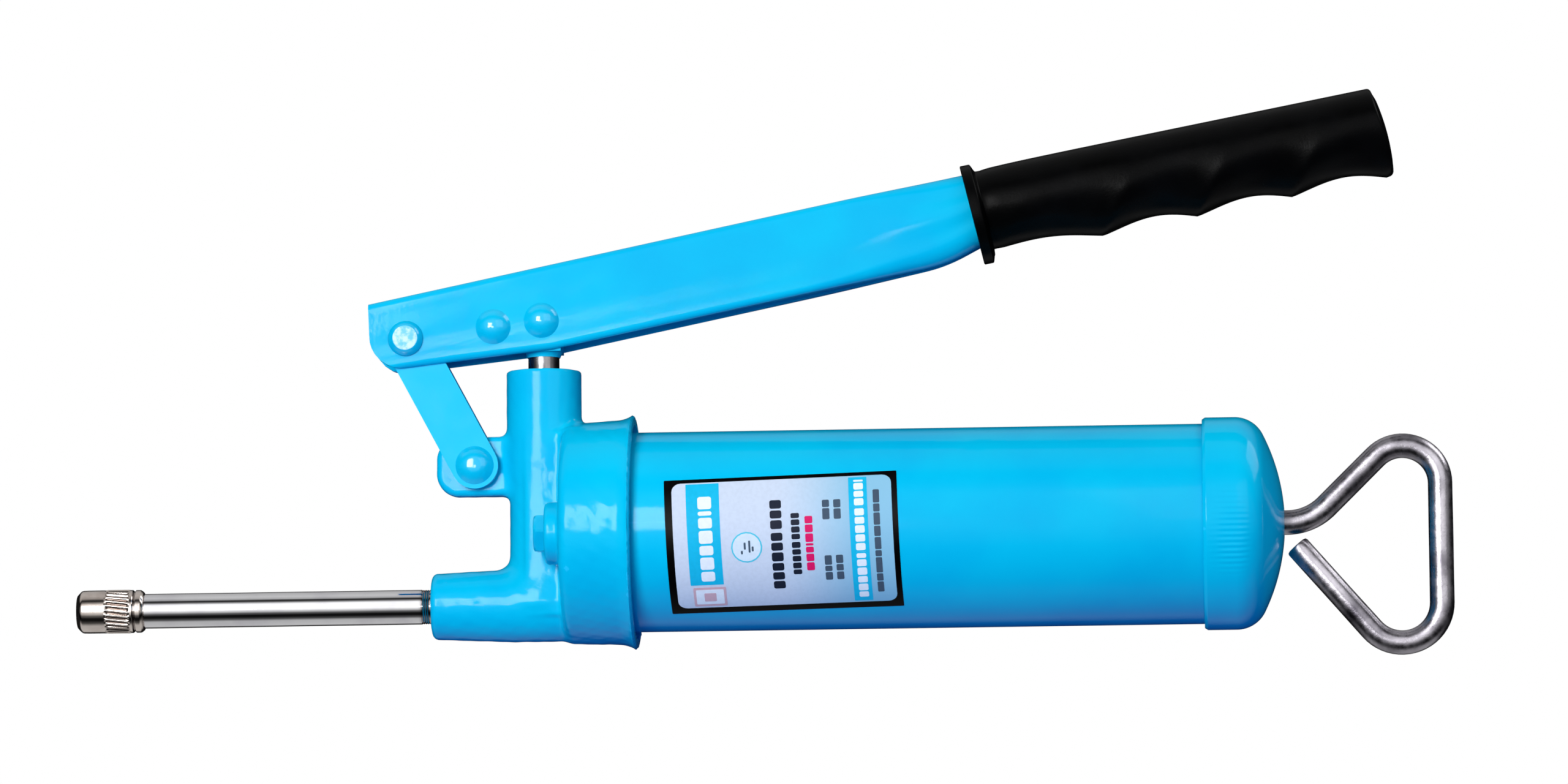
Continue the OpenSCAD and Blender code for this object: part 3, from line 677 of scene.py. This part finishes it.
class Print:
    """Collects the label's printed shapes, each a thin patch that follows the barrel."""

    def __init__(self, materials):
        self.materials = materials
        self.verts, self.faces, self.index = [], [], []

    def outline(self, a0, b0, a1, b1, corner):
        square = [(a0, b0), (a1, b0), (a1, b1), (a0, b1)]
        corner = min(corner, (a1 - a0) / 2, (b1 - b0) / 2)
        return rounded([(*p, corner) for p in square], True, 5) if corner > 0 else square

    def patch(self, material, a0, b0, a1, b1, corner=0.0, lift=0.17, pitch=1.0):
        """A rectangle with rounded corners, cut into strips round the barrel so that it lies on it."""
        edge = self.outline(a0, b0, a1, b1, corner)
        strips = max(1, math.ceil((b1 - b0) / pitch))
        rows = {round(b0 + (b1 - b0) * k / strips, 5) for k in range(strips + 1)}
        rows = sorted(rows | {round(p[1], 5) for p in edge})
        spans = []
        for b in rows:
            hits = []
            for p, q in zip(edge, edge[1:] + edge[:1]):
                if abs(p[1] - q[1]) < 1e-6:
                    if abs(p[1] - b) < 1e-4:
                        hits += [p[0], q[0]]
                elif min(p[1], q[1]) - 1e-4 <= b <= max(p[1], q[1]) + 1e-4:
                    hits.append(p[0] + (q[0] - p[0]) * (b - p[1]) / (q[1] - p[1]))
            spans.append((b, min(hits), max(hits)))
        first = len(self.verts)
        for level in (lift, 0.02):
            for b, low, high in spans:
                self.verts += [label_point(low, b, level), label_point(high, b, level)]
        count = len(spans)
        top, base = first, first + 2 * count
        made = []
        for t, b in zip(range(top, base - 2, 2), range(base, base + 2 * count - 2, 2)):
            made += [[t, t + 1, t + 3, t + 2], [b, b + 2, b + 3, b + 1]]
            made += [[t, t + 2, b + 2, b], [t + 1, b + 1, b + 3, t + 3]]
        made.append([top, base, base + 1, top + 1])
        end = 2 * count - 2
        made.append([top + end, top + end + 1, base + end + 1, base + end])
        self.faces += made
        self.index += [self.materials.index(material)] * len(made)

    def disc(self, material, a, b, r, lift):
        self.patch(material, a - r, b - r, a + r, b + r, r, lift, 0.4)

    def words(self, material, a, b0, b1, height, widths, lift):
        """A run of blocks of the given widths that stands for a line of print, from b0 up to b1."""
        gap = height * 0.16
        scale = (b1 - b0 - gap * (len(widths) - 1)) / sum(widths)
        b = b0
        for w in widths:
            self.patch(material, a - height / 2, b, a + height / 2, b + w * scale, height * 0.18, lift)
            b += w * scale + gap


def build_label():
    mats = [LABEL_BLACK, LABEL_SILVER, LABEL_CYAN, LABEL_AQUA, LABEL_WHITE, LABEL_PALE, LABEL_INK,
            LABEL_GREY, LABEL_PINK, LABEL_ROSE]
    p = Print(mats)
    half_a, half_b = LABEL_LEN / 2, LABEL_ARC / 2
    film, panel, art, ink = 0.10, 0.14, 0.17, 0.20
    space = 0.01
    p.patch(LABEL_BLACK, -half_a, -half_b, half_a, half_b, 0.3, film)
    left, right_edge, low, top = -half_a + 2.1, half_a - 1.6, -half_b + 2.4, half_b - 1.2
    p.patch(LABEL_SILVER, left, low, right_edge, top, 2.6, panel)
    # left band, with a framed square at its lower end and blocks in place of words
    band0, band1 = left + 4.0, left + 13.4
    p.patch(LABEL_CYAN, band0, low + 8.4, band1, top - 0.4, 0.2, art)
    p.words(LABEL_WHITE, (band0 + band1) / 2 + 0.5, low + 9.6, top - 4.4, 3.9,
            [2.0, 2.4, 1.8, 2.4, 2.0, 0.8, 2.4], ink)
    p.patch(LABEL_ROSE, band0 + 0.6, low + 0.7, band1 + 0.5, low + 7.6, 0.4, art)
    p.patch(LABEL_WHITE, band0 + 1.3, low + 1.5, band1 - 0.2, low + 6.8, 0.3, ink)
    p.patch(LABEL_ROSE, band0 + 3.6, low + 2.6, band1 - 2.4, low + 5.6, 0.3, ink + 0.02)
    # round seal
    seal_a, seal_b = left + 20.6, low + 19.2
    p.disc(LABEL_AQUA, seal_a, seal_b, 4.4, art)
    p.disc(LABEL_PALE, seal_a, seal_b, 4.0, ink)
    for da, b0, b1 in ((-1.7, -1.9, -0.9), (-0.8, -0.6, 1.4), (0.5, -1.5, 1.9), (1.4, -1.2, 0.2)):
        p.patch(LABEL_GREY, seal_a + da, seal_b + b0, seal_a + da + 0.55, seal_b + b1, 0.2, ink + 0.02)
    # rows of blocks in place of print
    p.words(LABEL_INK, left + 29.2, low + 6.2, top - 6.4, 3.3,
            [2.4, 2.2, 2.2, 2.5, 2.2, 2.2, space, 2.4, 2.2, 2.4], art)
    p.words(LABEL_INK, left + 34.6, low + 10.6, top - 10.4, 2.4,
            [1.6, 1.9, 1.8, 1.7, 1.9, space, 1.7, 1.9, 1.8, 1.6], art)
    p.words(LABEL_PINK, left + 38.4, low + 11.6, top - 11.4, 2.2, [2.2, 2.0, 1.5, 0.6, 2.2, 2.0, 1.9], art)
    for a, w in ((left + 43.4, [1.2, 0.8, 1.4]), (left + 46.6, [1.5, 1.2, 1.5])):
        p.words(LABEL_GREY, a, low + 8.4, low + 15.8, 2.0, w, art)
        p.words(LABEL_GREY, a, top - 12.6, top - 7.0, 2.0, w[:2], art)
    p.patch(LABEL_CYAN, left + 50.0, low + 0.6, left + 55.2, top - 0.5, 0.2, art)
    p.words(LABEL_WHITE, left + 52.8, low + 2.0, top - 1.4, 2.7,
            [1.7, 2.0, 1.8, 2.0, 1.8, 1.2, space, 1.8, 1.8, 1.9, 1.7, 1.8, space, 1.8, 1.6, 1.8, 0.5], ink)
    p.words(LABEL_GREY, left + 57.7, low + 3.6, top - 4.6, 1.8, [3, 2, 4, 1.5, 3, 2.5, 3, 2, 3.4], art)
    piece("label_print", p.verts, p.faces, mats, "barrel", ["barrel_label"], 30, p.index)


# ---- follower rod and D-handle ----

def build_rod():
    r = 3.5
    start = 159.5
    path = rounded([(start, 0), (352.4, 0, 16), (389.4, 36.2, 10.7), (389.4, -53.8, 11.4), (348.4, -6.6)],
                   False, 22)
    dense = [Vector(path[0])]
    for p in path[1:]:
        q = Vector(p)
        gap = (q - dense[-1]).length
        cuts = max(1, int(gap / 2.5))
        dense += [dense[-1].lerp(q, (k + 1) / cuts) for k in range(cuts)]
    rings = []
    travel = 0.0
    last = len(dense) - 1

    def ring(centre, tangent, radius, s):
        side = Vector((-tangent.y, tangent.x))
        out = []
        for k in range(32):
            a = TAU * k / 32
            rr = radius + 0.03 * math.sin(s * 0.21 + 2 * a) * math.sin(s * 0.047)
            q = centre + side * rr * math.cos(a)
            out.append((q.x, rr * math.sin(a), BARREL_Z + q.y))
        return out

    for i, p in enumerate(dense):
        tangent = (dense[min(i + 1, last)] - dense[max(i - 1, 0)]).normalized()
        if i:
            travel += (p - dense[i - 1]).length
        if i == last:
            rings.append(ring(p - tangent * 0.7, tangent, r, travel))
            rings.append(ring(p - tangent * 0.2, tangent, r - 0.2, travel))
            rings.append(ring(p, tangent, r - 0.65, travel))
            rings.append(ring(p - tangent * 0.15, tangent, r - 2.2, travel))
        elif (dense[last] - p).length > 1.2:
            rings.append(ring(p, tangent, r, travel))
    stud = ((149.5, 2.6), (149.9, 3.0), (start, 3.0))
    tip = [ring(Vector((x, 0)), Vector((1, 0)), stud_r, 0) for x, stud_r in stud]
    verts, faces = loft(tip + rings)
    piece("handle_rod", verts, faces, ROD_STEEL, "follower", ["follower_rod"], 42)


# ---- nozzle pipe and coupler ----

def build_pipe():
    front, back = PIPE_LOW[0], PIPE_HIGH[0]
    step = 19.2
    neck = PIPE_R - 0.1
    outline = [(front, 2.0), (front, 4.0), (step, 4.0), (step, PIPE_R - 0.3), (step + 0.3, PIPE_R)]
    stop = BOSS_FRONT - 2.4
    outline += [(x, PIPE_R) for x in np.linspace(step + 2, stop, 24)]
    for k in range(4):
        x = stop + 0.2 + k * 0.62
        outline += [(x, neck - 0.15), (x + 0.3, PIPE_R - 0.04)]
    outline += [(back, neck), (back, 2.0)]
    verts, faces = turned(outline, along_x(NOZZLE_Z), 96, True)
    piece("pipe_shell", verts, faces, CHROME, "head", ["nozzle_pipe"], 35)


def build_coupler():
    r = 6.15
    mouth = 3.7
    end = corners("coupler_sleeve")[1][0]
    knurl0, knurl1 = 8.3, 15.3
    outline = rounded([(1.5, 5.35), (1.5, mouth), (0.25, mouth, 0.3), (0, mouth + 0.5, 0.2),
                       (0, r - 1.5, 0.8), (1.4, r - 0.05, 1.4), (3.4, r)], False, 5)
    outline += [(x, r) for x in np.linspace(3.8, knurl0 - 0.3, 7)]
    outline += [(x, r) for x in np.linspace(knurl0, knurl1, 15)]
    outline += [(knurl1 + 0.2, r - 0.02), (end - 0.3, r - 0.02), (end, r - 0.3), (end, 5.35)]
    ribs = 28

    def knurl(x, rad, a):
        if rad < r - 0.01 or not knurl0 - 0.01 <= x <= knurl1 + 0.01:
            return rad
        wave = math.cos((a + 0.02 * (x - knurl0)) * ribs)
        end_soft = min(1, (x - knurl0) / 0.5, (knurl1 - x) / 0.5)
        return rad + max(0, end_soft) * (0.22 * math.copysign(abs(wave) ** 0.7, wave) - 0.12)

    verts, faces = turned(outline, along_x(NOZZLE_Z), 360, True, knurl)
    piece("coupler_shell", verts, faces, NICKEL, "sleeve", ["coupler_sleeve"], 38)
    body_low, body_high = corners("coupler_body")
    back = body_high[0]
    outline = rounded([(12.5, 4.02), (12.5, 3.0), (body_low[0], 3.0), (body_low[0], 5.3), (end + 0.05, 5.3),
                       (end + 0.1, 5.7), (end + 0.45, 5.7, 0.1), (end + 0.5, r - 0.05, 0.3),
                       (back - 0.9, r - 0.05, 0.9), (back, 5.4, 0.4), (back, 4.02)], True, 5)
    verts, faces = turned(outline, along_x(NOZZLE_Z), 96, True)
    piece("coupler_core", verts, faces, NICKEL, "head", ["coupler_body"], 38)


# ---- lever ----

NOSE = (-40.2, 4.2)
NOSE_R = 9.1
LEVER_TOP, LEVER_LOW = 15.3, -8.7
SHEET = 1.8


def lever_low(u):
    """Lower edge of the channel: a straight run, then it turns up to the grip."""
    if u < 1.1:
        return -4.86 + (LEVER_LOW + 4.86) * (u + 41.04) / 42.14
    if u < 108:
        return LEVER_LOW
    t = min(1, (u - 108) / 22)
    return LEVER_LOW + 3.9 * t * t * (3 - 2 * t) * t


def smooth(t):
    t = max(0.0, min(1.0, t))
    return t * t * (3 - 2 * t)


def channel_section(u, low):
    """Half of the channel's outer and inner outline as (y, v), from the folded lower lip to the top."""
    gap = LEVER_HALF - SHEET - (LEVER_HALF - SHEET - 2.6) * smooth((u - 22) / 72)
    curl = 2.0 + 4.4 * smooth((u - 75) / 50)
    crown = 1.95 + 2.85 * smooth((u - 90) / 35)
    bulge = 0.3 + 1.0 * smooth((u - 88) / 34)
    height = LEVER_TOP - low

    def outline(inset):
        r = curl - inset
        half = LEVER_HALF - inset
        centre = half - r
        points = []
        flat = max(0.0, LEVER_HALF - curl - gap)
        folded = (gap - (LEVER_HALF - curl)) / (curl - SHEET / 2)
        reach = math.acos(max(0.0, min(1.0, folded)))
        for k in range(3):
            points.append((centre - flat * (1 - k / 3), low + inset))
        for k in range(9):
            a = reach * (1 - k / 8)
            points.append((centre + r * math.cos(a), low + inset + r * (1 - math.sin(a))))
        base, top = low + curl, LEVER_TOP - crown
        for k in range(1, 9):
            t = k / 9
            swell = bulge * math.sin(math.pi * t) ** 2 * smooth((height - 10) / 10)
            points.append((half + swell, base + (top - base) * t))
        r2 = crown - inset
        for k in range(7):
            a = math.pi / 2 * k / 6
            points.append((half - r2 + r2 * math.cos(a), LEVER_TOP - crown + r2 * math.sin(a)))
        for k in range(1, 4):
            points.append(((half - r2) * (1 - k / 4), LEVER_TOP - inset))
        return points

    return outline(0), outline(SHEET)


def front_shift(v):
    """How far the front edge lies behind the foremost point, at height v."""
    if v >= 4.8:
        return -49.28 + (v - 4.8) * (1.68 / 10.5)
    rise = max(-1.0, min(1.0, (v - NOSE[1]) / NOSE_R))
    return NOSE[0] - NOSE_R * math.sqrt(max(0.0, 1 - rise * rise))


def build_channel():
    low0 = -4.9
    join = -26.0
    stations = [("front", t) for t in (0, 0.02, 0.06, 0.12, 0.25, 0.45, 0.7)]
    stations += [("plain", u) for u in np.linspace(join, 128.6, 80)]
    rings = []
    for kind, s in stations:
        u = join if kind == "front" else s
        low = lever_low(u)
        outer, inner = channel_section(u, low)

        def put(points, side):
            out = []
            for y, v in points:
                if kind == "front":
                    share = (v - low) / (LEVER_TOP - low)
                    v_front = low0 + share * (LEVER_TOP - low0)
                    start = front_shift(v_front)
                    uu = start + (join - start) * s
                    vv = v_front + (v - v_front) * s
                else:
                    uu, vv = u, v
                out.append(lever_point(uu, side * y, vv))
            return out

        ring = put(outer, -1) + put(outer, 1)[::-1] + put(inner, 1) + put(inner, -1)[::-1]
        rings.append(ring)
    verts, faces = loft(rings, False)
    size = len(rings[0])
    half = size // 2
    for base, flip in ((0, False), ((len(rings) - 1) * size, True)):
        for k in range(half - 1):
            quad = [base + k, base + size - 1 - k, base + size - 2 - k, base + k + 1]
            faces.append(quad[::-1] if flip else quad)
    made = piece("lever_shell", verts, faces, PAINT, "lever", ["lever_channel"], 40)
    weld(made)
    soften(made, 0.35)


def pin(name, centre, body, replaces, head, base, r, flat_material=None):
    """A rivet along Y. head is its outline as (height, radius) above the face at base, on both sides."""
    top = [(base + h, rad) for h, rad in head]
    outline = [(-y, rad) for y, rad in top[::-1]] + [(-base, r), (base, r)] + top
    verts, faces = turned(outline, along_y(centre[0], centre[2]), 64)
    mats = [RIVET_PAINT] if flat_material is None else [RIVET_PAINT, flat_material]
    index = None
    if flat_material is not None:
        index = [1 if min(abs(verts[i][1]) for i in f) > base + 2.4 else 0 for f in faces]
    piece(name, verts, faces, mats, body, replaces, 50, index)


def dome(r, h, flat=0.0, steps=10):
    """Outline of a domed head with a rounded foot, and a small flat on top."""
    ball = (r * r + h * h) / (2 * h)
    reach = math.asin(min(1, r / ball))
    points = [(0, r - 0.15), (0.12, r)]
    for k in range(1, steps + 1):
        a = reach * (1 - k / steps)
        rad = ball * math.sin(a)
        if rad < flat:
            break
        points.append((ball * math.cos(a) - ball + h, rad))
    points.append((points[-1][0] + 0.02, 0))
    return points


def build_pins():
    face = LEVER_HALF
    pin("plunger_rivet", PLUNGER_PIN, "lever", ["plunger_pin"], dome(5.1, 2.9), face, 3)
    pin("stiffener_rivet_shell", middle("stiffener_rivet"), "lever", ["stiffener_rivet"], dome(5.1, 2.7),
        face, 2.5)
    head = [(0, 5.0), (0.5, 5.05), (1.0, 4.9), (2.3, 3.75), (2.5, 3.5), (2.56, 3.1), (2.5, 1.5), (2.44, 0)]
    # its flat top gets the pale painted highlight
    pin("link_rivet", LINK_PIN, "lever", ["link_pin"], head, face, 3, PIN_TOP_HIGHLIGHT)
    outer = abs(corners("link_near")[0][1])
    pin("lug_rivet", LUG_PIN, "link", ["lug_pin"], dome(5.45, 2.8, 1.6), outer, 3)


def build_vent():
    """Hexagon plug with turned chamfers on its corners, flats up and down."""
    front, back = 132.6, VENT[0] + 3
    corner, flat = 5.8, 5.0
    rings = []
    chamfer = ((front, 4.7), (front + 0.15, 5.0), (front + 0.7, 5.55), (front + 1.0, corner))
    for x, reach in (*chamfer, (back, corner)):
        ring = []
        for k in range(96):
            a = TAU * k / 96
            edge = flat / math.cos((a + TAU / 12) % (TAU / 6) - TAU / 12)
            rr = min(edge, reach)
            ring.append((x, VENT[1] + rr * math.sin(a), VENT[2] + rr * math.cos(a)))
        rings.append(ring)
    verts, faces = loft(rings)
    weld(piece("vent_hex", verts, faces, RIVET_PAINT, "head", ["vent_plug"], 24))


GRIP_U, GRIP_V = 126.4, 3.9
GRIP_R, FLANGE_R = 12.8, 15.0
GRIP_TILT = math.radians(0.8)
FIRST_RIDGE, RIDGE_PITCH = 35.5, 27.5


def grip_radius(s, a):
    """Radius of the grip at distance s behind its front, a being the angle from straight down."""
    a = abs((a + math.pi) % TAU - math.pi)
    under = smooth((math.radians(115) - a) / math.radians(75))
    flange = smooth((3.9 - s) / 1.2)
    groove = math.exp(-((s - 4.9) / 1.3) ** 2)
    r = GRIP_R - 0.2 * groove - 0.5 * math.exp(-max(0, s - 3.9) / 9) + (FLANGE_R - GRIP_R) * flange
    if s > 3.9:
        r += under * (0.45 - 1.9 * (1 - smooth((s - 3.9) / 31)))
    lean = 11.0 * (1 - math.cos(a)) ** 0.9
    along = s - lean
    share = (along - 4.5) / 31 if along < FIRST_RIDGE else 1 + (along - FIRST_RIDGE) / RIDGE_PITCH
    if 0 < share < 5:
        wave = math.sin(math.pi * (share % 1.0) ** 1.15)
        r -= (1.9 if share < 1 else 2.5) * wave * under
    return r


def build_grip():
    ball_s, ball_drop, ball_r = 57.95, 4.4, 63.0
    around = 128
    fillet = 1.1

    def place(s, y, w):
        c, t = math.cos(GRIP_TILT), math.sin(GRIP_TILT)
        return lever_point(GRIP_U + s * c + w * t, y, GRIP_V - s * t + w * c)

    def end_of(y, w):
        return ball_s + math.sqrt(max(0.0, ball_r ** 2 - y * y - (w + ball_drop) ** 2))

    def ring(s_of, scale=1.0, shrink=0.0):
        out = []
        for k in range(around):
            a = TAU * k / around
            s = s_of(a)
            r = grip_radius(s, a) * scale - shrink
            y, w = r * math.sin(a), -r * math.cos(a)
            lean = -0.05 * w * smooth((9 - s) / 7)
            out.append(place(s + lean, y, w))
        return out

    rings = []
    for scale in (0.55, 0.8, 0.93, 0.975):
        rings.append(ring(lambda a: 0.0, scale))
    flange = (0.2, 0.5, 1, 1.8, 2.5, 2.8, 3, 3.2, 3.4, 3.6, 3.8, 4, 4.5, 5, 6, 7.5, 9)
    rings += [ring(lambda a, s=s: s) for s in flange]
    count = 96

    def end_at(a):
        r = grip_radius(115, a)
        return end_of(r * math.sin(a), -r * math.cos(a))

    for i in range(1, count + 1):
        rings.append(ring(lambda a, t=i / count: 9 + (end_at(a) - fillet - 9) * t))
    for k in range(1, 5):
        b = math.pi / 2 * k / 4
        back = fillet * (1 - math.sin(b))
        rings.append(ring(lambda a, back=back: end_at(a) - back, 1, fillet * (1 - math.cos(b))))
    for share in (0.8, 0.65, 0.5, 0.35, 0.2, 0.08):
        out = []
        for k in range(around):
            a = TAU * k / around
            r = (grip_radius(115, a) - fillet) * share
            y, w = r * math.sin(a), -r * math.cos(a)
            out.append(place(end_of(y, w), y, w))
        rings.append(out)
    verts, faces = loft(rings)
    piece("grip_sleeve", verts, faces, GRIP, "lever", ["lever_grip"], 50)


# ---- springs ----


def build_spring(name, node, body, wire, turns):
    """A coil spring with closed ends."""
    low, high = corners(node)
    reach = (high[1] - low[1]) / 2 - wire
    start, end = low[0] + wire, high[0] - wire
    z = (low[2] + high[2]) / 2
    closed = 2.1 * wire
    steps, sides = 40, 12
    rings = []
    for i in range(turns * steps + 1):
        turn = i / steps
        if turn < 1:
            x = start + closed * turn
        elif turn > turns - 1:
            x = end - closed * (turns - turn)
        else:
            x = start + closed + (end - start - 2 * closed) * (turn - 1) / (turns - 2)
        a = TAU * turn
        ring = []
        for k in range(sides):
            b = TAU * k / sides
            r = reach + wire * math.cos(b)
            ring.append((x + wire * math.sin(b), r * math.sin(a), z + r * math.cos(a)))
        rings.append(ring)
    verts, faces = loft(rings)
    made = piece(name, verts, faces, SPRING, body, [node])
    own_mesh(made)


def build_springs():
    build_spring("follower_coil", "follower_spring", "spring", 1.2, 11)
    build_spring("check_coil", "check_spring", "head", 0.35, 6)
    build_spring("coupler_coil", "coupler_spring", "head", 0.3, 5)


# ---- CAD pieces that stay, with their own finishes ----

CARRIED = {
    "barrel_gasket": (FIBRE, 0),
    "follower_nut": (BRIGHT, 0.3),
    "follower_washer": (BRIGHT, 0.2),
    "follower_cup": (SEAL, 0),
    "follower_backplate": (BRIGHT, 0.2),
    "plunger_rod": (OILED, 0.2),
    "plunger_eye": (PAINT, 0.4),
    "plunger_packing": (SEAL, 0),
    "check_ball": (BRIGHT, 0),
    "coupler_jaws": (NICKEL, 0.1),
    "coupler_seal": (SEAL, 0),
    "link_near": (PAINT, 0.4),
    "link_far": (PAINT, 0.4),
    "stiffener_spacer": (BRIGHT, 0),
}


def dress_frame():
    for node, (material, edge) in CARRIED.items():
        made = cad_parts[node]
        made.data.materials.clear()
        made.data.materials.append(material)
        if edge:
            soften(made, edge)


# ---- stage: floor, world and lights ----

def build_stage():
    n = Nodes("pale_floor")
    n.colour(n.mix(n.span(n.noise(3, 4), 0.3, 0.7, 0, 1), (0.80, 0.80, 0.81), (0.76, 0.76, 0.77)))
    n.rough(n.span(n.noise(40, 3), 0.3, 0.7, 0.6, 0.75))
    mesh = bpy.data.meshes.new("floor")
    reach, drop = 8, 0.7
    z = cad_box[0].z - drop
    mesh.from_pydata([(-reach, -reach, z), (reach, -reach, z), (reach, reach, z), (-reach, reach, z)], [],
                     [[0, 1, 2, 3]])
    mesh.materials.append(n.done(Emission_Color=(0.86, 0.87, 0.88, 1), Emission_Strength=0.75))
    floor = bpy.data.objects.new("floor", mesh)
    floor.visible_glossy = False
    floor.visible_diffuse = False
    bpy.context.scene.collection.objects.link(floor)
    build_world()
    centre = (cad_box[0] + cad_box[1]) / 2
    soft_light("key", Vector((115, 0, 40)) * MM, -18.5, 9.5, 1.5, 0.55, 0.665, 18)
    soft_light("key_foot", Vector((175, 0, 20)) * MM, -5.1, 0.5, 1.5, 0.152, 0.183, 18)
    soft_light("fill", centre, 32, 18, 1.9, 1.3, 1.3, 1.2)
    soft_light("rim", centre, 98, 40, 1.5, 0.8, 0.8, 3.5)
    soft_light("top", centre, 0, 80, 1.6, 1.8, 1.2, 0.2, False)
    soft_light("back", centre, 180, 62, 1.8, 1.6, 1.2, 0.6, False)


# tone of the studio in a reflection, by the angle in degrees up from the front, over the top to the back
ROUND_TONES = [(-180, 0.30), (-132, 0.60), (-86, 0.52), (-70, 0.09), (-55, 0.008), (-41, 0.006),
               (-28, 0.12), (-14, 0.75), (-4, 1.25), (33, 1.25), (45, 0.28), (53, 0.03), (60, 0.02),
               (70, 0.48), (88, 0.66), (124, 0.52), (152, 0.38), (180, 0.30)]
# and by the angle to the right from the front, where it is near level
LEVEL_TONES = [(-180, 0.02), (-78, 0.03), (-58, 0.15), (-40, 0.7), (-24, 1.0), (8, 1.0), (18, 0.7),
               (32, 0.42), (74, 0.33), (98, 0.08), (130, 0.02), (180, 0.02)]


def build_world():
    """White behind the object, an even dim room for its shading, and a banded studio in its reflections."""
    world = bpy.data.worlds.new("studio")
    bpy.context.scene.world = world
    world.use_nodes = True
    tree = world.node_tree
    link = tree.links.new

    def add(kind, **values):
        node = tree.nodes.new(kind)
        for key, value in values.items():
            setattr(node, key, value)
        return node

    split = add("ShaderNodeSeparateXYZ")
    link(add("ShaderNodeTexCoord").outputs["Generated"], split.inputs[0])
    ahead = add("ShaderNodeMath", operation="MULTIPLY")
    ahead.inputs[1].default_value = -1
    link(split.outputs["Y"], ahead.inputs[0])

    def tones(rise, table):
        angle = add("ShaderNodeMath", operation="ARCTAN2")
        link(rise, angle.inputs[0])
        link(ahead.outputs[0], angle.inputs[1])
        share = add("ShaderNodeMapRange")
        share.inputs["From Min"].default_value = -math.pi
        share.inputs["From Max"].default_value = math.pi
        link(angle.outputs[0], share.inputs["Value"])
        ramp = add("ShaderNodeValToRGB")
        stops = ramp.color_ramp.elements
        for degrees, _ in table[1:-1]:
            stops.new((degrees + 180) / 360)
        for stop, (_, tone) in zip(stops, table):
            stop.color = (tone, tone, tone, 1)
        link(share.outputs["Result"], ramp.inputs["Fac"])
        return ramp.outputs["Color"]

    level = add("ShaderNodeMath", operation="ABSOLUTE")
    link(split.outputs["Z"], level.inputs[0])
    near_level = add("ShaderNodeMapRange")
    for key, value in (("From Min", 0.5), ("From Max", 0.7), ("To Min", 1), ("To Max", 0)):
        near_level.inputs[key].default_value = value
    link(level.outputs[0], near_level.inputs["Value"])
    both = add("ShaderNodeMix", data_type="RGBA", blend_type="MULTIPLY")
    link(near_level.outputs["Result"], both.inputs["Factor"])
    link(tones(split.outputs["Z"], ROUND_TONES), both.inputs["A"])
    link(tones(split.outputs["X"], LEVEL_TONES), both.inputs["B"])

    height = add("ShaderNodeMapRange")
    for key, value in (("From Min", -0.6), ("From Max", 0.3)):
        height.inputs[key].default_value = value
    link(split.outputs["Z"], height.inputs["Value"])
    room = add("ShaderNodeMix", data_type="RGBA")
    room.inputs["A"].default_value = (0.02, 0.15, 0.46, 1)
    room.inputs["B"].default_value = (0.08, 0.14, 0.20, 1)
    link(height.outputs["Result"], room.inputs["Factor"])

    def shade(source=None):
        made = add("ShaderNodeBackground")
        made.inputs["Color"].default_value = (1, 1, 1, 1)
        if source:
            link(source, made.inputs["Color"])
        return made.outputs["Background"]

    ray = add("ShaderNodeLightPath")
    out = shade(room.outputs["Result"])
    for kind, other in (("Is Glossy Ray", shade(both.outputs["Result"])), ("Is Camera Ray", shade())):
        choose = add("ShaderNodeMixShader")
        link(ray.outputs[kind], choose.inputs["Fac"])
        link(out, choose.inputs[1])
        link(other, choose.inputs[2])
        out = choose.outputs["Shader"]
    link(out, tree.nodes["World Output"].inputs["Surface"])


def soft_light(name, centre, azimuth, elevation, distance, width, height, tone, mirrored=True):
    """An area light in that direction from centre, as bright as tone, seen in reflections if mirrored."""
    light = bpy.data.lights.new(name, "AREA")
    light.shape = "RECTANGLE"
    light.size, light.size_y = width, height
    light.energy = tone * math.pi * width * height
    made = bpy.data.objects.new(name, light)
    a, e = math.radians(azimuth), math.radians(elevation)
    out = Vector((math.sin(a) * math.cos(e), -math.cos(a) * math.cos(e), math.sin(e)))
    made.location = centre + out * distance
    made.rotation_mode = "QUATERNION"
    made.rotation_quaternion = out.to_track_quat("Z", "Y")
    made.visible_glossy = mirrored
    bpy.context.scene.collection.objects.link(made)


build_casting()
build_barrel()
build_cap()
build_label()
build_rod()
build_pipe()
build_coupler()
build_channel()
build_pins()
build_vent()
build_grip()
build_springs()
dress_frame()
build_stage()
